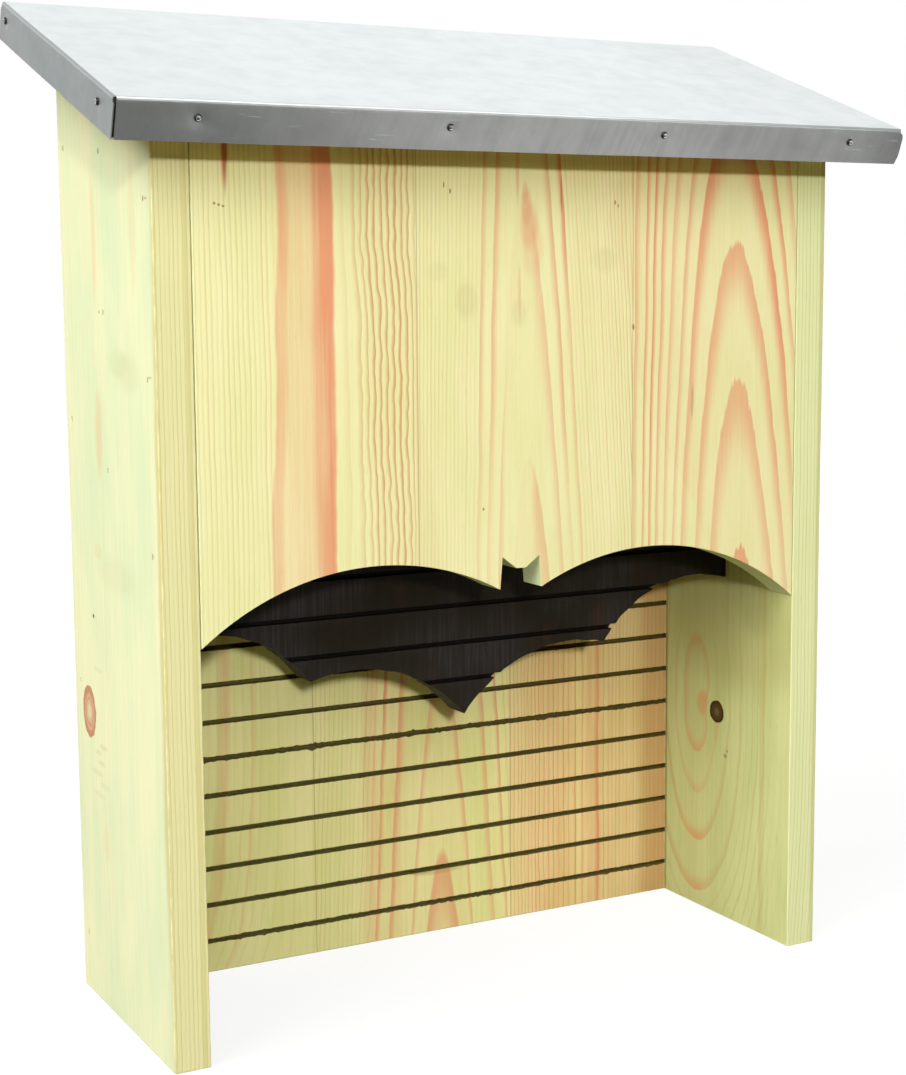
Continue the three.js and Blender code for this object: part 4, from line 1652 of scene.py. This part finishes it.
@dataclass
class RoofCap:
    """The folded sheet cap with its domed nails.

    The clip, bend, flare, fold and tuck shape the skirt's lower right corner. Depths there are shares of the
    skirt's height.
    """

    border: float = 2 * MM
    grid: float = 9 * MM
    wave: float = 0.16 * MM
    long_wave: float = 55 * MM
    short_wave: float = 22 * MM
    dimple: float = 0.42 * MM
    dimple_radius: float = 3.9 * MM
    corner_bend: float = 1.5 * MM
    corner_flare: float = 1.0 * MM
    corner_run: float = 14 * MM
    clip_side: float = 1.5 * MM
    clip_width: float = 3.0 * MM
    clip_start: float = 0.68
    bend_start: float = 0.1
    flare_run: float = 0.15
    corner_back: float = 20 * MM
    fold_width: float = 1.2 * MM
    tuck_back: float = 4 * MM
    tuck: float = 0.4 * MM
    skirt: float = 18.5 * MM
    head_radius: float = 1.8 * MM
    head_height: float = 1.2 * MM
    head_seat: float = 0.1 * MM
    head_back: float = 0.96
    head_rim: float = 0.72
    dome_steps: int = 7
    dome_power: float = 0.9
    sink: float = 0.8
    shank_radius: float = 0.9 * MM
    length: float = 20 * MM
    around: int = 24

    def heads(self) -> Nails:
        """Find the nails of the skirts: name, crown and the way each points."""
        slope, _ = slope_axes()
        ways = {"front": slope, "back": -slope, "left": Vector((1, 0, 0)), "right": Vector((-1, 0, 0))}
        found = []
        for node in sorted(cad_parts):
            if not node.startswith("cap_nail_"):
                continue
            way = ways[node.split("_")[2]]
            points = [vertex.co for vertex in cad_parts[node].data.vertices]
            crown = min(points, key=lambda point: point.dot(way))
            found.append((node, crown.copy(), way))
        return found

    def sheet(self, heads: Nails) -> bpy.types.Object:
        """Build the sheet, a little wavy and dimpled round each nail.

        Args:
            heads: The nails.

        Returns:
            The piece.
        """
        form = merged_copy("roof_cap")
        low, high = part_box("roof_cap")
        across = Vector((1, 0, 0))
        slope, rise = slope_axes()
        near = [offset * MM for offset in DIMPLE_CUTS]
        x_places = steps(low.x + self.border, high.x - self.border, self.grid)
        first = min(vertex.co.dot(slope) for vertex in form.verts)
        last = max(vertex.co.dot(slope) for vertex in form.verts)
        y_places = steps(first + self.border, last - self.border, self.grid)
        level = heads[0][1].dot(rise)
        for _, crown, way in heads:
            if abs(way.x) < 0.5:
                x_places += [crown.x + offset for offset in near]
            else:
                y_places += [crown.dot(slope) + offset for offset in near]
        sliced(form, across, sorted({round(place, 6) for place in x_places}))
        sliced(form, slope, sorted({round(place, 6) for place in y_places}))
        sliced(form, rise, [level + offset for offset in near])
        top = max(vertex.co.dot(rise) for vertex in form.verts)
        corner = across * high.x + slope * first + rise * top
        for vertex in form.verts:
            vertex.co += self.shift(vertex.co, heads, rise)
            vertex.co.y = min(vertex.co.y, high.y)
            vertex.co.x += self.cornered(vertex.co - corner, slope, rise)
        form.normal_update()
        skirt = form.faces.layers.float.new("skirt")
        fold = form.faces.layers.float.new("fold")
        for face in form.faces:
            lie = abs(face.normal.dot(rise))
            front = face.normal.dot(slope) < FRONT_FACING and FRONT_FOLD[0] < lie < FRONT_FOLD[1]
            face[skirt] = float(lie < SKIRT_LIE)
            face[fold] = (1.0 if front else 0.5) if SKIRT_LIE <= lie < FOLD_LIE else 0.0
        material = GalvanisedSheet().material()
        return set_piece(form, "roof_sheet", ["roof_cap"], material)

    def cornered(self, offset: Vector, slope: Vector, rise: Vector) -> float:
        """Round the skirt's lower right end and tuck the flange behind it.

        Args:
            offset: The point, from the cap's front right top corner.
            slope: The way up the roof.
            rise: The way out of the roof's top.

        Returns:
            How far the point moves along x.
        """
        depth = -offset.dot(rise) / self.skirt
        behind = offset.dot(slope)
        if offset.x < -self.corner_run or depth < self.bend_start or behind > self.corner_back:
            return 0.0
        flare = self.corner_flare * min(1.0, (depth - self.bend_start) / self.flare_run)
        curved = self.corner_bend * depth**8 - flare
        if behind > self.fold_width:
            tucked = offset.x > -self.fold_width and behind < self.tuck_back
            return -max(0.0, curved + self.tuck) if tucked else 0.0
        clip = self.clip_side + self.clip_width * max(0.0, depth - self.clip_start) / (1 - self.clip_start)
        share = min(1.0, (self.corner_run + offset.x) / (self.corner_run - clip))
        return share * (self.corner_run - curved) - (self.corner_run + offset.x)

    def shift(self, point: Vector, heads: Nails, rise: Vector) -> Vector:
        """Work out how far the sheet is out of true at a point.

        Args:
            point: The point.
            heads: The nails.
            rise: The way out of the roof's top.

        Returns:
            The shift.
        """
        sway = noise.noise(point / self.long_wave)
        sway += 0.4 * noise.noise(point / self.short_wave + Vector((9, 0, 0)))
        shift = rise * (sway * self.wave - self.wave)
        for _, crown, way in heads:
            offset = point - crown
            depth = abs(offset.dot(way))
            aside = (offset - way * offset.dot(way)).length
            if depth < 3 * MM and aside < 3 * self.dimple_radius:
                shift += way * (self.dimple * math.exp(-((aside / self.dimple_radius) ** 2)))
        return shift

    def nail(self, node: str, crown: Vector, way: Vector, material: bpy.types.Material) -> bpy.types.Object:
        """Spin a domed nail.

        Args:
            node: The CAD node that it replaces.
            crown: Top of its head.
            way: The way that it points.
            material: Its material.

        Returns:
            The piece.
        """
        form = bmesh.new()
        profile = []
        for index in range(self.dome_steps + 1):
            turn = math.pi / 2 * index / self.dome_steps
            flat = math.sin(turn) ** self.dome_power
            profile.append((self.head_radius * flat, self.head_height * (1 - math.cos(turn))))
        profile.append((self.head_radius * self.head_back, self.head_height + self.head_seat))
        profile.append((self.shank_radius, self.head_height + self.head_seat))
        profile.append((self.shank_radius, self.head_height + self.length - 2 * self.shank_radius))
        profile.append((0.0, self.head_height + self.length))
        verts = [form.verts.new((radius, 0.0, depth)) for radius, depth in profile]
        edges = [form.edges.new(pair) for pair in zip(verts, verts[1:])]
        bmesh.ops.spin(
            form,
            geom=[*verts, *edges],
            cent=(0, 0, 0),
            axis=(0, 0, 1),
            angle=2 * math.pi,
            steps=self.around,
            use_merge=True,
        )
        bmesh.ops.remove_doubles(form, verts=form.verts, dist=MERGE_DISTANCE)
        bmesh.ops.recalc_face_normals(form, faces=form.faces)
        # The outer faces of the head take the steel's painted dark reflection.
        rim = form.faces.layers.float.new("rim")
        for face in form.faces:
            face[rim] = float(face.calc_center_median().xy.length > self.head_rim * self.head_radius)
        turn = Vector((0, 0, 1)).rotation_difference(way).to_matrix().to_4x4()
        seat = Matrix.Translation(crown + way * (self.dimple * self.sink))
        bmesh.ops.transform(form, matrix=seat @ turn, verts=form.verts)
        return set_piece(form, node.replace("cap_nail", "skirt_nail"), [node], material)

    def build(self) -> list[bpy.types.Object]:
        """Build the cap and its nails.

        Returns:
            The pieces.
        """
        heads = self.heads()
        pieces = [self.sheet(heads)]
        steel = NailSteel("bright_steel", paint(228, 226, 224), paint(150, 147, 144), 0.18).material()
        pieces += [self.nail(node, crown, way, steel) for node, crown, way in heads]
        for node in sorted(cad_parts):
            if node.startswith("roof_nail_"):
                dress_node(node, steel)
        return pieces


@dataclass
class Card:
    """A studio card that only reflections see."""

    name: str
    centre: Triple
    size: tuple[float, float]
    turn: Triple
    tones: Points
    depth_tones: Points = steady(1.0)
    hue: Colour = WHITE


@dataclass
class Studio:
    """Floor, world, lamps and camera."""

    eye: Triple = (-0.47508, -0.87363, 0.36397)
    yaw: float = 0.4908
    pitch: float = -0.1287
    roll: float = -0.0079
    lens: float = 63.869
    sensor: float = 36.0
    target: Triple = (0.0, -0.04, 0.28)
    distance: float = 4.0
    floor_tone: float = 0.2
    floor_glow: float = 0.84
    bounce: Colour = (0.155, 0.142, 0.075, 1.0)
    ambient: float = 0.018
    shade: Colour = (1.0, 0.7, 0.2, 1.0)

    def seen_directly(self, graph: Graph) -> Signal:
        """Tell the rays that show the white background from those that light the object."""
        path = graph.raw("ShaderNodeLightPath")
        camera = Signal(graph, path.outputs["Is Camera Ray"])
        glossy = Signal(graph, path.outputs["Is Glossy Ray"])
        through = Signal(graph, path.outputs["Is Transmission Ray"])
        return (camera + glossy + through).clamped()

    def floor(self) -> None:
        """Lay a pale floor that keeps the shadow."""
        form = bmesh.new()
        bmesh.ops.create_grid(form, x_segments=1, y_segments=1, size=6.0)
        material, graph, shader = blank_material("studio_floor")
        tone = (self.floor_tone, self.floor_tone, self.floor_tone, 1.0)
        graph.feed(shader.inputs["Base Color"], graph.mix(self.seen_directly(graph), self.bounce, tone))
        shader.inputs["Roughness"].default_value = 0.9
        shader.inputs["Specular IOR Level"].default_value = 0.0
        shader.inputs["Emission Color"].default_value = WHITE
        x, y, _ = graph.axes(graph.node("ShaderNodeTexCoord", out="Object"))
        away = graph.step(graph.math("SQRT", x * x + y * y), 0.4, 1.6)
        glow = graph.lerp(away, self.floor_glow, 1.0)
        graph.feed(shader.inputs["Emission Strength"], self.seen_directly(graph) * glow)
        placed(form, "studio_floor", material)

    def world(self) -> None:
        """Set a white world that lights the object only a little."""
        world = bpy.data.worlds.new("studio_world")
        bpy.context.scene.world = world
        world.use_nodes = True
        graph = Graph(world.node_tree)
        background = world.node_tree.nodes["Background"]
        seen = self.seen_directly(graph)
        graph.feed(background.inputs["Color"], graph.mix(seen, self.shade, WHITE))
        graph.feed(background.inputs["Strength"], seen * (1.0 - self.ambient) + self.ambient)

    def card(self, card: Card) -> None:
        """Stand a card that only reflections see.

        Args:
            card: The card.
        """
        form = bmesh.new()
        bmesh.ops.create_grid(form, x_segments=1, y_segments=1, size=0.5)
        bmesh.ops.scale(form, vec=(card.size[0], card.size[1], 1.0), verts=form.verts)
        for axis, angle in zip("XYZ", card.turn):
            turn = Matrix.Rotation(math.radians(angle), 3, axis)
            bmesh.ops.rotate(form, cent=(0, 0, 0), matrix=turn, verts=form.verts)
        bmesh.ops.translate(form, vec=card.centre, verts=form.verts)
        material, graph, shader = blank_material(card.name)
        tree = material.node_tree
        tree.nodes.remove(shader)
        glow = graph.raw("ShaderNodeEmission")
        across, deep, _ = graph.axes(graph.node("ShaderNodeTexCoord", out="Object"))
        tone = graph.curve(across, card.tones) * graph.curve(deep, card.depth_tones)
        graph.feed(glow.inputs["Strength"], tone)
        glow.inputs["Color"].default_value = card.hue
        tree.links.new(glow.outputs[0], tree.nodes["Material Output"].inputs["Surface"])
        sheet = placed(form, card.name, material)
        sheet.visible_camera = False
        sheet.visible_diffuse = False
        sheet.visible_shadow = False
        sheet.visible_transmission = False

    def lamp(
        self, name: str, azimuth: float, elevation: float, size: tuple[float, float], power: float, seen: bool
    ) -> None:
        """Aim an area lamp at the box.

        Args:
            name: The lamp's name.
            azimuth: Degrees left of the front.
            elevation: Degrees above the floor.
            size: Width and height of the lamp.
            power: Watts.
            seen: Whether gloss shows it.
        """
        light = bpy.data.lights.new(name, "AREA")
        light.shape = "RECTANGLE"
        light.size, light.size_y = size
        light.energy = power
        turn, rise = math.radians(azimuth), math.radians(elevation)
        way = Vector((-math.sin(turn) * math.cos(rise), -math.cos(turn) * math.cos(rise), math.sin(rise)))
        lamp = bpy.data.objects.new(name, light)
        lamp.location = Vector(self.target) + way * self.distance
        lamp.rotation_euler = (-way).to_track_quat("-Z", "Y").to_euler()
        lamp.visible_glossy = seen
        bpy.context.scene.collection.objects.link(lamp)

    def camera(self) -> None:
        """Set up the camera that took the photograph."""
        ahead = Vector(
            (
                math.sin(self.yaw) * math.cos(self.pitch),
                math.cos(self.yaw) * math.cos(self.pitch),
                math.sin(self.pitch),
            )
        )
        level = Vector((math.cos(self.yaw), -math.sin(self.yaw), 0.0))
        upright = level.cross(ahead)
        right = level * math.cos(self.roll) + upright * math.sin(self.roll)
        up = upright * math.cos(self.roll) - level * math.sin(self.roll)
        data = bpy.data.cameras.new("photo_camera")
        data.lens = self.lens
        data.sensor_width = self.sensor
        data.sensor_fit = "AUTO"
        data.clip_start = 0.01
        data.clip_end = 50.0
        camera = bpy.data.objects.new("photo_camera", data)
        axes = Matrix((right, up, -ahead)).transposed()
        camera.matrix_world = Matrix.Translation(Vector(self.eye)) @ axes.to_4x4()
        bpy.context.scene.collection.objects.link(camera)
        bpy.context.scene.camera = camera

    def build(self) -> None:
        """Build the studio."""
        bpy.context.scene.view_settings.view_transform = "Standard"
        self.floor()
        self.world()
        tones = (
            (-0.6, 0.012), (0.0, 0.025), (0.14, 0.1), (0.3, 0.45), (0.42, 0.45), (0.58, 0.32), (1.9, 0.26),
        )
        fading = ((-0.75, 0.8), (0.4, 1.0), (0.7, 1.3))
        warm = (1.0, 0.925, 0.905, 1.0)
        side_tones = steady(0.33)
        room_tones = steady(0.07)
        self.card(Card("floor_card", (0.65, -1.0, 0.02), (2.5, 1.4), (0, 0, 0), tones, fading, warm))
        self.card(Card("side_card", (-1.6, 2.4, 0.5), (2.4, 1.6), (90, 0, 35), side_tones))
        self.card(Card("room_card", (0, -5.5, 0.4), (16, 1.0), (90, 0, 0), room_tones))
        self.lamp("key_lamp", 21, 14.6, (0.24, 0.24), 75, False)
        self.lamp("front_soft_lamp", 20, 36, (2.9, 2.8), 62, True)
        self.lamp("left_soft_lamp", 74, 33, (2.9, 2.6), 160, True)
        self.lamp("back_fill_lamp", -152, 26, (2.9, 2.6), 100, False)
        self.camera()


def main() -> None:
    """Build the studio and the bat box, in order."""
    logging.basicConfig(level=logging.INFO, format="%(name)s: %(message)s")
    Studio().build()
    effects = Effects()
    pieces = Carcass().build(effects) + RoofCap().build()
    LOG.info("%d new pieces", len(pieces))


if __name__ == "__main__":
    main()
